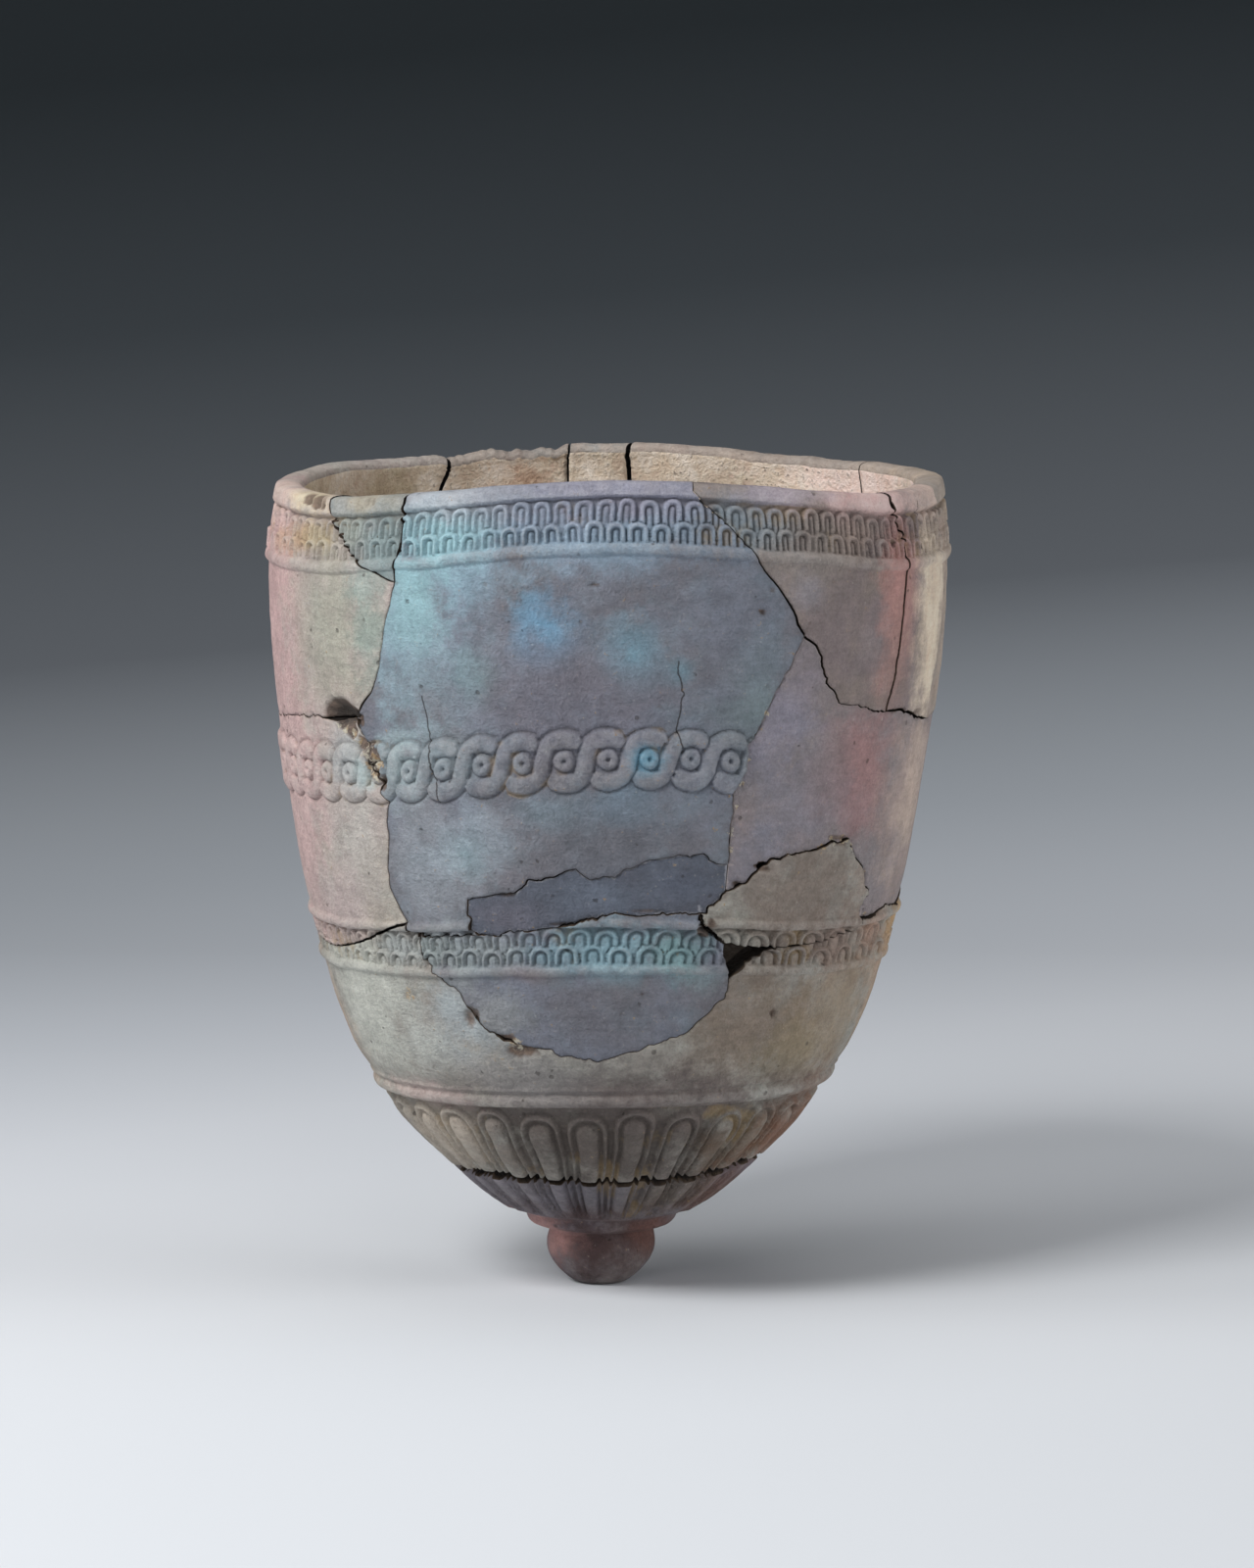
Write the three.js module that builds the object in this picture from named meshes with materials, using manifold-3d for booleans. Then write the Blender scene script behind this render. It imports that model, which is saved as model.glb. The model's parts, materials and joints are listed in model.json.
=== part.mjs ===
// A decorated beaker with a knob foot, put back together from its sherds, with smooth fills where
// sherds are lost. Millimetres, +Z up, origin at the centre of the foot's flat underside.
// The front faces -Y. An angle of 0 degrees is the front, and 90 degrees is +X.
//
// The vessel is modelled the way it came about: one thin wall with its carved bands, which is then
// broken along the crack lines. Each sherd is what is left between the cracks.

import * as THREE from "three";
import { mergeVertices } from "three/addons/utils/BufferGeometryUtils.js";
import Module from "manifold-3d";

// Foot: a solid knob that stands on a worn flat, under a thin collar
const FOOT_FLAT_RADIUS = 6.4;
const KNOB_RADIUS = 12.4;
const KNOB_WIDEST_HEIGHT = 8.8;
const KNOB_NECK_RADIUS = 11.8;
const KNOB_HEIGHT = 12.7;
const COLLAR_RADIUS = 17.4;
const COLLAR_HEIGHT = 15.2;

// Outer profile above the collar: heights and radii of the plain wall
const BOWL_HEIGHT = 28.4;
const BOWL_RADIUS = 34.3;
const BASE_BEAD_HEIGHT = 47.7;
const BASE_BEAD_SEAT_RADIUS = 50.4;
const SHOULDER_HEIGHT = 60;
const SHOULDER_RADIUS = 57.6;
const LOWER_BAND_HEIGHT = 81.2;
const LOWER_BAND_RADIUS = 63.9;
const GUILLOCHE_HEIGHT = 119.3;
const GUILLOCHE_RADIUS = 71.7;
const RIM_HEIGHT = 180;
const RIM_RADIUS = 74.4;
const UPPER_BAND_DROP = 10.8;
const UPPER_BAND_HEIGHT = RIM_HEIGHT - UPPER_BAND_DROP;
const UPPER_BAND_RADIUS = 75.4;

// Wall
const WALL = 6;
const FLOOR_THICKNESS = 9;
const FLOOR_RADIUS = 15;
const LIP_HEIGHT = 4.7;
const LIP_PROJECTION = 0.9;
const LIP_ROUNDING = 0.8;

// Warps: the bands and the rim rise in front and behind, and the axis leans to one side
const BAND_RISE = 6.7;
const RIM_RISE = 4.4;
const RISE_STARTS_HEIGHT = 30;
const RISE_ANGLE = 3;
const LEAN = 2.1;

// Beads: the raised lines above and below the bands
const BASE_BEAD_HALF_HEIGHT = 1.7;
const BASE_BEAD_PROJECTION = 1.3;
const BAND_BEAD_HALF_HEIGHT = 1.05;
const BAND_BEAD_PROJECTION = 0.8;

// Scale bands: two rows of upright scales in each
const SCALE_ROWS = 2;
const UPPER_SCALES = 91;
const UPPER_SCALE_HEIGHT = 5;
const LOWER_SCALES = 70;
const LOWER_SCALE_HEIGHT = 3.8;
const SCALE_DEPTH = 0.9;
const SCALE_VALLEY_SHARE = 0.42;
const SCALE_STEP = 0.35;

// Guilloche: a twisted strand round a row of eyes
const GUILLOCHE_EYES = 50;
const GUILLOCHE_HALF_HEIGHT = 6.1;
const GUILLOCHE_DEPTH = 1.1;

// Tongues on the bowl, each with a raised border
const TONGUES = 27;
const TONGUE_TOP_HEIGHT = 43.6;
const TONGUE_DEPTH = 1.2;
const TONGUE_ANGLE = -4.1;

// Joints and fills
const JOINT_GAP = 0.4;
const FILL_RECESS = 0.4;
const JOINT_MARGIN = 6;

// Facets round the wall
const WALL_FACETS = 36;
const INNER_FACETS = 24;
const FOOT_FACETS = 24;

const TURN = 2 * Math.PI;
const radians = THREE.MathUtils.degToRad;

// Profile of the wall
const STATIONS = [
  [COLLAR_HEIGHT, COLLAR_RADIUS],
  [BOWL_HEIGHT, BOWL_RADIUS],
  [BASE_BEAD_HEIGHT, BASE_BEAD_SEAT_RADIUS],
  [SHOULDER_HEIGHT, SHOULDER_RADIUS],
  [LOWER_BAND_HEIGHT, LOWER_BAND_RADIUS],
  [GUILLOCHE_HEIGHT, GUILLOCHE_RADIUS],
  [UPPER_BAND_HEIGHT, UPPER_BAND_RADIUS],
  [RIM_HEIGHT, RIM_RADIUS],
];

// Slope of the profile at one station: the mean of the slopes on both sides, weighted by nearness.
function slopeAtStation(index) {
  const rise = (i) => (STATIONS[i + 1][1] - STATIONS[i][1]) / (STATIONS[i + 1][0] - STATIONS[i][0]);
  if (index === 0) return rise(0);
  if (index === STATIONS.length - 1) return rise(index - 1);
  const below = STATIONS[index][0] - STATIONS[index - 1][0];
  const above = STATIONS[index + 1][0] - STATIONS[index][0];
  return (rise(index - 1) * above + rise(index) * below) / (below + above);
}

// Radius of the plain outer wall at a height: a smooth cubic through the stations.
function wallRadius(height) {
  const last = STATIONS.length - 1;
  if (height >= STATIONS[last][0]) return STATIONS[last][1];
  const i = Math.max(0, STATIONS.findIndex(([h]) => h > height) - 1);
  const [h0, r0] = STATIONS[i];
  const [h1, r1] = STATIONS[i + 1];
  const span = h1 - h0;
  const t = Math.max(0, (height - h0) / span);
  const m0 = slopeAtStation(i) * span;
  const m1 = slopeAtStation(i + 1) * span;
  return (
    (2 * t ** 3 - 3 * t ** 2 + 1) * r0 +
    (t ** 3 - 2 * t ** 2 + t) * m0 +
    (3 * t ** 2 - 2 * t ** 3) * r1 +
    (t ** 3 - t ** 2) * m1
  );
}

// Unit normal of the plain wall at a height, as [outward, up].
function wallNormal(height) {
  const step = 0.5;
  const slope = (wallRadius(height + step) - wallRadius(height - step)) / (2 * step);
  const length = Math.hypot(1, slope);
  return [1 / length, -slope / length];
}

// How far the maker's lines rise at a height, in front and behind.
function riseAt(height) {
  const lipLine = RIM_HEIGHT - LIP_HEIGHT;
  if (height > lipLine) {
    const share = Math.min(1, (height - lipLine) / LIP_HEIGHT);
    return BAND_RISE + (RIM_RISE - BAND_RISE) * share;
  }
  const share = (height - RISE_STARTS_HEIGHT) / (GUILLOCHE_HEIGHT - RISE_STARTS_HEIGHT);
  return BAND_RISE * THREE.MathUtils.clamp(share, 0, 1);
}

// A point at an angle in radians, a nominal height and a radius, with the warps put in.
function warpedPoint(angle, height, radius) {
  const bump = Math.cos(angle - radians(RISE_ANGLE)) ** 4;
  return new THREE.Vector3(
    radius * Math.sin(angle) + (LEAN * height) / RIM_HEIGHT,
    -radius * Math.cos(angle),
    height + riseAt(height) * bump,
  );
}

// A ring is a list of points round the axis, in the order of their angles, starting near angle 0.
function ring(count, place) {
  return Array.from({ length: count }, (_, i) => {
    const { angle, height, radius } = place((TURN * i) / count, i);
    return { angle, point: warpedPoint(angle, height, radius) };
  });
}

function levelRing(height, radius, count = WALL_FACETS) {
  return ring(count, (angle) => ({ angle, height, radius }));
}

function wallRing(height, lift = 0, count = WALL_FACETS) {
  return levelRing(height, wallRadius(height) + lift, count);
}

function beadRings(height, halfHeight, projection) {
  const section = [
    [-1, 0],
    [0, 1],
    [1, 0],
  ];
  return section.map(([up, out]) => wallRing(height + up * halfHeight, out * projection));
}

// Two rings for one row of scales: the scalloped crest, and the step down behind it.
function scaleRowRings(base, scaleHeight, count, shift) {
  const crest = base + scaleHeight;
  const valley = base + scaleHeight * SCALE_VALLEY_SHARE;
  const scalloped = (above, crestLift, valleyLift) =>
    ring(2 * count, (angle, i) => {
      const onCrest = i % 2 === 0;
      const height = (onCrest ? crest : valley) + above;
      const lift = onCrest ? crestLift : valleyLift;
      return { angle: angle + shift, height, radius: wallRadius(height) + lift };
    });
  return [scalloped(-SCALE_STEP, SCALE_DEPTH, SCALE_DEPTH * 0.5), scalloped(0, 0.15, 0)];
}

// A band of scale rows between two beads, centred on a height. Each row is half a scale on.
function scaleBandRings(centre, scaleHeight, count) {
  const halfRows = (SCALE_ROWS * scaleHeight) / 2;
  const below = centre - halfRows - BAND_BEAD_HALF_HEIGHT;
  const rows = Array.from({ length: SCALE_ROWS }, (_, row) =>
    scaleRowRings(centre - halfRows + row * scaleHeight, scaleHeight, count, (row * TURN) / (2 * count)),
  );
  const crease = (height, shift) =>
    ring(count, (angle) => ({ angle: angle + shift, height, radius: wallRadius(height) }));
  return [
    ...beadRings(below, BAND_BEAD_HALF_HEIGHT, BAND_BEAD_PROJECTION).slice(0, -1),
    crease(centre - halfRows, 0),
    ...rows.flat().slice(0, -1),
    crease(centre + halfRows + 0.1, ((SCALE_ROWS - 1) * TURN) / (2 * count)),
  ];
}

// The guilloche: four columns to an eye, at the eye, in the groove, on the crossing strand and in
// the groove again. The crossing leans with the height, so that the strand runs on like an S.
function guillocheRings() {
  const lean = 0.16;
  const rows = [
    { up: -0.75, lifts: [0.9, 1, 0.8, 1], scallop: 0.12 },
    { up: 0, lifts: [0.9, 0.05, 1, 0.05], scallop: 0 },
    { up: 0.75, lifts: [0.9, 1, 0.8, 1], scallop: -0.12 },
  ];
  const pitch = TURN / GUILLOCHE_EYES;
  const columns = rows[0].lifts.length;
  return rows.map(({ up, lifts, scallop }) =>
    ring(columns * GUILLOCHE_EYES, (angle, i) => {
      const column = i % columns;
      const fromEye = column === 0 ? 0 : 1;
      const crossing = column === 2 ? 1 : 0;
      const height = GUILLOCHE_HEIGHT + GUILLOCHE_HALF_HEIGHT * (up + scallop * crossing);
      const lift = lifts[column] * GUILLOCHE_DEPTH;
      return { angle: angle + fromEye * lean * up * pitch, height, radius: wallRadius(height) + lift };
    }),
  );
}

// Tongues: six columns each, at the middle, the groove, the border, the gap and back again.
function tongueRings() {
  const columns = 6;
  const rounded = [0, 1.2, 2.6, 4, 2.6, 1.2];
  const lifts = [0.95, 0, 0.75, 0.1, 0.75, 0];
  const rows = [
    { share: 0, depth: 0.3, end: 0 },
    { share: 0.5, depth: 0.8, end: 0 },
    { share: 0.93, depth: 1, end: 1 },
    { share: 1, depth: 0, end: 1 },
  ];
  const foot = COLLAR_HEIGHT + 1;
  return rows.map(({ share, depth, end }) =>
    ring(columns * TONGUES, (angle, i) => {
      const column = i % columns;
      const drop = end * share * (share < 1 ? rounded[column] * 0.8 : 0);
      const height = foot + (TONGUE_TOP_HEIGHT - foot) * share - drop;
      const lift = (lifts[column] - 0.35) * TONGUE_DEPTH * depth;
      return { angle: angle + radians(TONGUE_ANGLE), height, radius: wallRadius(height) + lift };
    }),
  );
}

// Knob and collar, from the standing face up.
function footRings() {
  const arcSteps = 3;
  const knob = Array.from({ length: arcSteps + 1 }, (_, i) => {
    const turn = (i / arcSteps) * (Math.PI / 2);
    const radius = FOOT_FLAT_RADIUS + (KNOB_RADIUS - FOOT_FLAT_RADIUS) * Math.sin(turn);
    return levelRing(KNOB_WIDEST_HEIGHT * (1 - Math.cos(turn)), radius, FOOT_FACETS);
  });
  const underCollar = (KNOB_NECK_RADIUS + COLLAR_RADIUS) / 2;
  return [
    ...knob,
    levelRing(KNOB_HEIGHT, KNOB_NECK_RADIUS, FOOT_FACETS),
    levelRing(KNOB_HEIGHT + 0.5, underCollar, FOOT_FACETS),
    levelRing(COLLAR_HEIGHT - 0.9, COLLAR_RADIUS, FOOT_FACETS),
    levelRing(COLLAR_HEIGHT + 0.3, COLLAR_RADIUS, FOOT_FACETS),
  ];
}

// The carved bands with the plain wall between them.
function carvedRings() {
  return [
    ...tongueRings(),
    ...beadRings(BASE_BEAD_HEIGHT, BASE_BEAD_HALF_HEIGHT, BASE_BEAD_PROJECTION),
    wallRing((BASE_BEAD_HEIGHT + SHOULDER_HEIGHT) / 2 + 0.5),
    wallRing(SHOULDER_HEIGHT),
    wallRing((SHOULDER_HEIGHT + LOWER_BAND_HEIGHT) / 2 - 1),
    ...scaleBandRings(LOWER_BAND_HEIGHT, LOWER_SCALE_HEIGHT, LOWER_SCALES),
    ...beadRings(
      LOWER_BAND_HEIGHT + (SCALE_ROWS * LOWER_SCALE_HEIGHT) / 2 + BAND_BEAD_HALF_HEIGHT + 0.1,
      BAND_BEAD_HALF_HEIGHT,
      BAND_BEAD_PROJECTION,
    ).slice(1),
    wallRing((LOWER_BAND_HEIGHT + GUILLOCHE_HEIGHT) / 2),
    wallRing(GUILLOCHE_HEIGHT - GUILLOCHE_HALF_HEIGHT - 0.4),
    ...guillocheRings(),
    wallRing(GUILLOCHE_HEIGHT + GUILLOCHE_HALF_HEIGHT + 0.4),
    wallRing((GUILLOCHE_HEIGHT + UPPER_BAND_HEIGHT) / 2),
    ...scaleBandRings(UPPER_BAND_HEIGHT + 1, UPPER_SCALE_HEIGHT, UPPER_SCALES),
  ];
}

// The same wall as a fill has it: smooth and a little lower.
function smoothRings() {
  const steps = 14;
  const bottom = COLLAR_HEIGHT + 1;
  const top = RIM_HEIGHT - LIP_HEIGHT;
  return Array.from({ length: steps + 1 }, (_, i) =>
    wallRing(bottom + ((top - bottom) * i) / steps, -FILL_RECESS),
  );
}

function lipRings() {
  const crease = RIM_HEIGHT - LIP_HEIGHT;
  const out = (height, lift) => levelRing(height, wallRadius(height) + lift);
  return [
    out(crease + 0.35, -0.3),
    out(crease + 1.1, LIP_PROJECTION),
    out(RIM_HEIGHT - 1.2, LIP_PROJECTION),
    out(RIM_HEIGHT, -LIP_ROUNDING),
    out(RIM_HEIGHT, -WALL + 2 * LIP_ROUNDING),
  ];
}

// The inside of the wall, from the lip down to the floor.
function innerRings() {
  const steps = 7;
  const top = RIM_HEIGHT - LIP_HEIGHT / 2;
  const bottom = (COLLAR_HEIGHT + BOWL_HEIGHT) / 2 + WALL / 2;
  const wall = Array.from({ length: steps + 1 }, (_, i) => {
    const height = top + ((bottom - top) * i) / steps;
    const [out, up] = wallNormal(height);
    const radius = wallRadius(height) - WALL * out;
    return levelRing(Math.min(height - WALL * up, top), radius, INNER_FACETS);
  });
  const floor = COLLAR_HEIGHT + FLOOR_THICKNESS;
  return [...wall, levelRing(floor + 1.2, FLOOR_RADIUS, INNER_FACETS)];
}

// Joins two rings with triangles, always stepping on along the ring that is behind.
function stitch(below, above, triangles) {
  const end = (r, i) => r[i % r.length].angle + TURN * Math.floor(i / r.length);
  let i = 0;
  let j = 0;
  while (i < below.length || j < above.length) {
    const lowerStep = i < below.length ? end(below, i + 1) : Infinity;
    const upperStep = j < above.length ? end(above, j + 1) : Infinity;
    const low = below[i % below.length].point;
    const high = above[j % above.length].point;
    if (lowerStep <= upperStep) {
      i += 1;
      triangles.push([low, below[i % below.length].point, high]);
    } else {
      j += 1;
      triangles.push([low, above[j % above.length].point, high]);
    }
  }
}

// Closes a ring with a fan round its centre. A floor looks up, and a foot looks down.
function fan(rim, height, looksUp, triangles) {
  const centre = warpedPoint(0, height, 0);
  rim.forEach(({ point }, i) => {
    const next = rim[(i + 1) % rim.length].point;
    triangles.push(looksUp ? [centre, point, next] : [centre, next, point]);
  });
}

const wasm = await Module();
wasm.setup();

function solidFrom(geometry) {
  const bare = geometry.index ? geometry.toNonIndexed() : geometry.clone();
  bare.deleteAttribute("normal");
  bare.deleteAttribute("uv");
  const merged = mergeVertices(bare, 1e-4);
  return new wasm.Manifold(
    new wasm.Mesh({
      numProp: 3,
      vertProperties: merged.attributes.position.array,
      triVerts: new Uint32Array(merged.index.array),
    }),
  );
}

function solidFromTriangles(triangles) {
  const geometry = new THREE.BufferGeometry().setFromPoints(triangles.flat());
  return solidFrom(geometry);
}

// The whole unbroken vessel, from its foot over the lip to its floor.
function vessel(wallRings) {
  const rings = [...footRings(), ...wallRings, ...lipRings(), ...innerRings()];
  const triangles = [];
  for (let i = 1; i < rings.length; i += 1) stitch(rings[i - 1], rings[i], triangles);
  fan(rings[0], 0, false, triangles);
  fan(rings[rings.length - 1], COLLAR_HEIGHT + FLOOR_THICKNESS, true, triangles);
  return solidFromTriangles(triangles);
}

// Crack lines. Each point is [angle in degrees, height in percent of the rim's height, and where it
// is wider than a plain joint, its width]. A line that goes on over the rim ends above 100.
const CRACKS = {
  wedge_left: [[-54, 103], [-53, 96.9], [-50, 94.7], [-47, 92.8], [-44, 91.4], [-41, 90.5], [-36, 89.1]],
  main_left: [
    [-35, 103, 0.9], [-35.5, 99, 0.7], [-36, 96], [-36.5, 91.1], [-37.5, 88], [-39, 85], [-41, 78.8],
    [-43, 76.2], [-46, 74.2], [-46.5, 72.5], [-44, 69.4], [-44.5, 67.5], [-42, 65.5], [-42, 60.4],
    [-43, 53], [-42, 50.7], [-39.2, 47.7],
  ],
  left_across: [[-45.5, 73.5], [-60, 73.3], [-68, 72.8], [-86, 71.7]],
  low_left: [
    [-39, 48.4, 0.8], [-42, 48.1, 0.8], [-49, 46.7], [-54, 45.8], [-62, 44.6], [-70, 44.3], [-85, 44.4],
  ],
  band_top: [
    [-40.2, 48.4], [-39.5, 47.4, 0.8], [-38, 46.9, 0.7], [-25, 46.8], [-13, 47.1], [-5, 47.9],
    [2, 48.9], [7, 48.4], [14, 48.9], [20.5, 49],
  ],
  low_front: [
    [-38.7, 47.4], [-38, 44.3], [-36, 43.1], [-31, 40.5], [-29, 38.4], [-27, 36.5], [-23, 34.7],
    [-15, 33.2], [-9, 32.2], [-1, 31.5], [5, 32.5], [14, 34.2], [20, 36], [24, 38.2], [26, 40.5],
    [26, 42, 0.8], [24.5, 45], [22, 46.3, 1], [19.5, 47.6, 1.2], [18.3, 49.3],
  ],
  fill_front: [
    [-24, 46.4], [-26, 47.5], [-26, 51], [-23, 51.2], [-15, 52.2], [-9, 53.2], [-5, 54], [-1, 52.7],
    [5, 54], [11, 55.2], [16, 55.8], [19, 55.3], [23.6, 54.6],
  ],
  fill_left: [
    [35, 83.5], [33, 80.4], [30, 76.3], [28, 72.8], [25.5, 69], [25, 65.8], [23, 63.3], [23, 58.1],
    [23.2, 54.6], [23, 51.2],
  ],
  diagonal: [[13, 103], [14, 98.9], [19, 95.2], [24, 91.9], [29, 87.7], [32, 85.1], [34.6, 82]],
  fill_top: [
    [33.8, 82.4], [37, 81.2], [39, 77.8], [42, 75.6], [43.5, 74.3], [53, 73.5], [62, 73.5], [74.5, 71.8],
  ],
  fill_low: [
    [19.2, 48.3], [21, 49.6], [23, 51.5], [27, 52.6], [30, 54.7], [35, 56], [42, 56.9], [50.5, 58.3],
    [53, 55.7], [57, 53.5], [60, 51], [58.6, 48.2],
  ],
  fill_corner: [[58, 48.3], [64, 48.1], [72, 49], [82.5, 48.3]],
  right_band: [[19, 47.6], [24, 45.4], [30, 45], [40, 45.2], [49, 45.8], [57, 46.6], [59.2, 48.6]],
  rim_right: [[53, 103], [57, 98], [56, 95], [59, 90.5], [57, 88], [58, 84.7], [57, 77], [55.5, 73]],
  rim_edge: [[72, 103], [75, 97.6], [77, 90], [76, 80.7], [74, 75], [74, 71.4]],
  rim_far: [[122, 103], [122, 95], [119.5, 85], [123, 77], [121, 70.8]],
  rim_back: [[175.5, 103, 0.9], [175, 90, 0.7], [177, 80], [178, 71.6]],
  rim_narrow: [[187.2, 103], [187, 92], [190, 84], [184, 77], [177.6, 72.4]],
  rim_chipped: [[213.5, 103, 1], [214, 95, 0.8], [211, 86], [216, 78], [213, 70.8]],
  back_across: [
    [-85, 71.8], [-100, 72.8], [-120, 69.5], [-150, 71.5], [-181, 72], [-200, 73.5],
    [-220, 70.5], [-260, 73], [-287, 71.9],
  ],
  back_low: [
    [-84, 44.4], [-91, 48.9], [-108, 50.5], [-130, 52], [-150, 50.4], [-172, 53.5], [-190, 51],
    [-214, 53], [-242, 50.2], [-265, 50.6], [-279, 48.3],
  ],
  back_middle_left: [[-98, 73.2], [-102, 64], [-97, 56], [-101, 49.3]],
  back_middle_right: [[-195, 73.6], [-200, 66], [-194, 58], [-198, 51.2]],
  fill_back: [[-247, 72.5], [-243, 65], [-249, 58], [-247, 49.8]],
  bowl_back_left: [[-112, 51.4], [-107, 40], [-111, 28], [-108, 15]],
  bowl_back_right: [[-243, 50.8], [-238, 38], [-242, 26], [-239, 15]],
  base: [
    [-180, 15.6], [-150, 15.7], [-120, 15.4], [-90, 15.6, 0.6], [-60, 15.6, 1.2], [-40, 15.7, 1.7],
    [-20, 15.4, 1.2], [2, 15.5, 1], [16, 15, 2.4], [40, 15.2, 2.6], [60, 16, 2.4], [90, 15.8, 1.4],
    [120, 15.5, 0.8], [150, 15.7], [180, 15.6],
  ],
};

// Adds points to a crack line where it runs far round the wall, so that it keeps to the curve.
function withinStep(line, step) {
  const points = [];
  line.forEach(([angle, percent, width = JOINT_GAP], i) => {
    const here = [angle, percent, width];
    if (i > 0) {
      const last = points[points.length - 1];
      const pieces = Math.ceil(Math.abs(angle - last[0]) / step);
      for (let k = 1; k < pieces; k += 1) {
        points.push(here.map((value, axis) => last[axis] + ((value - last[axis]) * k) / pieces));
      }
    }
    points.push(here);
  });
  return points;
}

// The gap along one crack line: a thin ribbon that passes through the wall, square to its face.
function jointGap(line) {
  const longestStep = 20;
  const points = withinStep(line, longestStep).map(([angle, percent, width]) => {
    const height = (percent / 100) * RIM_HEIGHT;
    const turn = radians(angle);
    const [out, up] = wallNormal(Math.min(height, RIM_HEIGHT - LIP_HEIGHT));
    const normal = new THREE.Vector3(out * Math.sin(turn), -out * Math.cos(turn), up);
    return { width, normal, place: warpedPoint(turn, height, wallRadius(height)) };
  });
  const closed = points[0].place.distanceTo(points[points.length - 1].place) < JOINT_GAP;
  if (closed) points.pop();
  const at = (i) => points[(i + points.length) % points.length];
  const sections = points.map(({ width, normal, place }, i) => {
    const before = closed || i > 0 ? at(i - 1).place : place;
    const after = closed || i < points.length - 1 ? at(i + 1).place : place;
    const along = after.clone().sub(before).normalize();
    const side = new THREE.Vector3().crossVectors(normal, along).setLength(width / 2);
    const outside = place.clone().addScaledVector(normal, JOINT_MARGIN);
    const inside = place.clone().addScaledVector(normal, -WALL - JOINT_MARGIN);
    return [
      outside.clone().add(side),
      outside.clone().sub(side),
      inside.clone().sub(side),
      inside.clone().add(side),
    ];
  });
  const triangles = [];
  sections.forEach((a, i) => {
    if (i + 1 === sections.length && !closed) return;
    const b = sections[(i + 1) % sections.length];
    [0, 1, 2].forEach((c) => {
      triangles.push([a[c], b[c], b[c + 1]], [a[c], b[c + 1], a[c + 1]]);
    });
    triangles.push([a[3], b[3], a[0]], [b[3], b[0], a[0]]);
  });
  if (!closed) {
    const [a, b] = [sections[0], sections[sections.length - 1]];
    triangles.push([a[0], a[1], a[2]], [a[0], a[2], a[3]]);
    triangles.push([b[0], b[2], b[1]], [b[0], b[3], b[2]]);
  }
  const solid = solidFromTriangles(triangles);
  return solid.volume() < 0 ? solidFromTriangles(triangles.map(([a, b, c]) => [a, c, b])) : solid;
}

// Places where the wall has flaked off. Each has its angle, height in percent, half-size along the
// wall, half-size up it, and depth.
const FLAKES = [
  [-52, 74.4, 4.6, 2.4, 2.6],
  [-58.5, 99.4, 3.4, 1.6, 2],
  [24.8, 45.4, 2.4, 2.8, 9],
  [26.6, 44.2, 3.2, 1.8, 9],
  [193, 101.2, 7, 2.6, 8],
  [204, 101.4, 8, 2.9, 8],
  [148, 101, 3, 1.2, 3],
];

function flake([angle, percent, halfWidth, halfHeight, depth]) {
  const height = (percent / 100) * RIM_HEIGHT;
  const turn = radians(angle);
  const facets = [8, 6];
  const geometry = new THREE.SphereGeometry(1, ...facets);
  geometry.scale(halfWidth, depth, halfHeight);
  geometry.rotateZ(turn);
  const place = warpedPoint(turn, height, wallRadius(height));
  geometry.translate(place.x, place.y, place.z);
  return solidFrom(geometry);
}

// Sherds and fills. Each is known by a point inside it: [angle, height in percent].
const BLUE = { color: 0x6d7784, roughness: 0.9 };
const TURQUOISE = { color: 0x7fa0a6, roughness: 0.9 };
const ROSE = { color: 0xb79c98, roughness: 0.9 };
const SAND = { color: 0x8f887a, roughness: 0.92 };
const DUSK = { color: 0x8d7c7a, roughness: 0.9 };
const PLASTER = { color: 0x7c7478, roughness: 0.95 };

const SHERDS = [
  ["front_sherd", [-10, 80], BLUE],
  ["rim_wedge_sherd", [-42, 95], TURQUOISE],
  ["upper_left_sherd", [-80, 85], ROSE],
  ["middle_left_sherd", [-70, 60], ROSE],
  ["upper_right_sherd", [45, 85], DUSK],
  ["rim_right_sherd", [66, 85], SAND],
  ["far_right_sherd", [100, 85], SAND],
  ["back_right_rim_sherd", [150, 85], SAND],
  ["back_narrow_rim_sherd", [181, 90], SAND],
  ["back_chipped_rim_sherd", [200, 85], SAND],
  ["back_middle_left_sherd", [-150, 60], DUSK],
  ["back_middle_right_sherd", [138, 60], DUSK],
  ["triangular_sherd", [45, 51], SAND],
  ["lower_front_sherd", [0, 40], BLUE],
  ["lower_bowl_sherd", [-60, 30], SAND],
  ["lower_back_sherd", [-175, 30], SAND],
  ["base_sherd", [0, 4], SAND],
];
const FILLS = [
  ["front_fill", [0, 51], PLASTER],
  ["right_fill", [70, 60], PLASTER],
];

// A small ball in the middle of the wall at a place, or in the knob where it is below the bowl.
function probe([angle, percent]) {
  const height = (percent / 100) * RIM_HEIGHT;
  const inKnob = height < COLLAR_HEIGHT;
  const radius = inKnob ? 0 : wallRadius(height) - WALL / 2;
  const place = warpedPoint(radians(angle), height, radius);
  const geometry = new THREE.SphereGeometry(0.5, 6, 4);
  geometry.translate(place.x, place.y, place.z);
  return solidFrom(geometry);
}

function meshFrom(solid, name, finish) {
  const { vertProperties, triVerts, numProp } = solid.getMesh();
  const positions = new Float32Array((vertProperties.length / numProp) * 3);
  for (let i = 0; i < positions.length / 3; i += 1) {
    positions.set(vertProperties.subarray(i * numProp, i * numProp + 3), i * 3);
  }
  const geometry = new THREE.BufferGeometry();
  geometry.setAttribute("position", new THREE.BufferAttribute(positions, 3));
  geometry.setIndex(new THREE.BufferAttribute(new Uint32Array(triVerts), 1));
  geometry.computeVertexNormals();
  const mesh = new THREE.Mesh(geometry, new THREE.MeshStandardMaterial({ ...finish, metalness: 0 }));
  mesh.name = name;
  return mesh;
}

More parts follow.
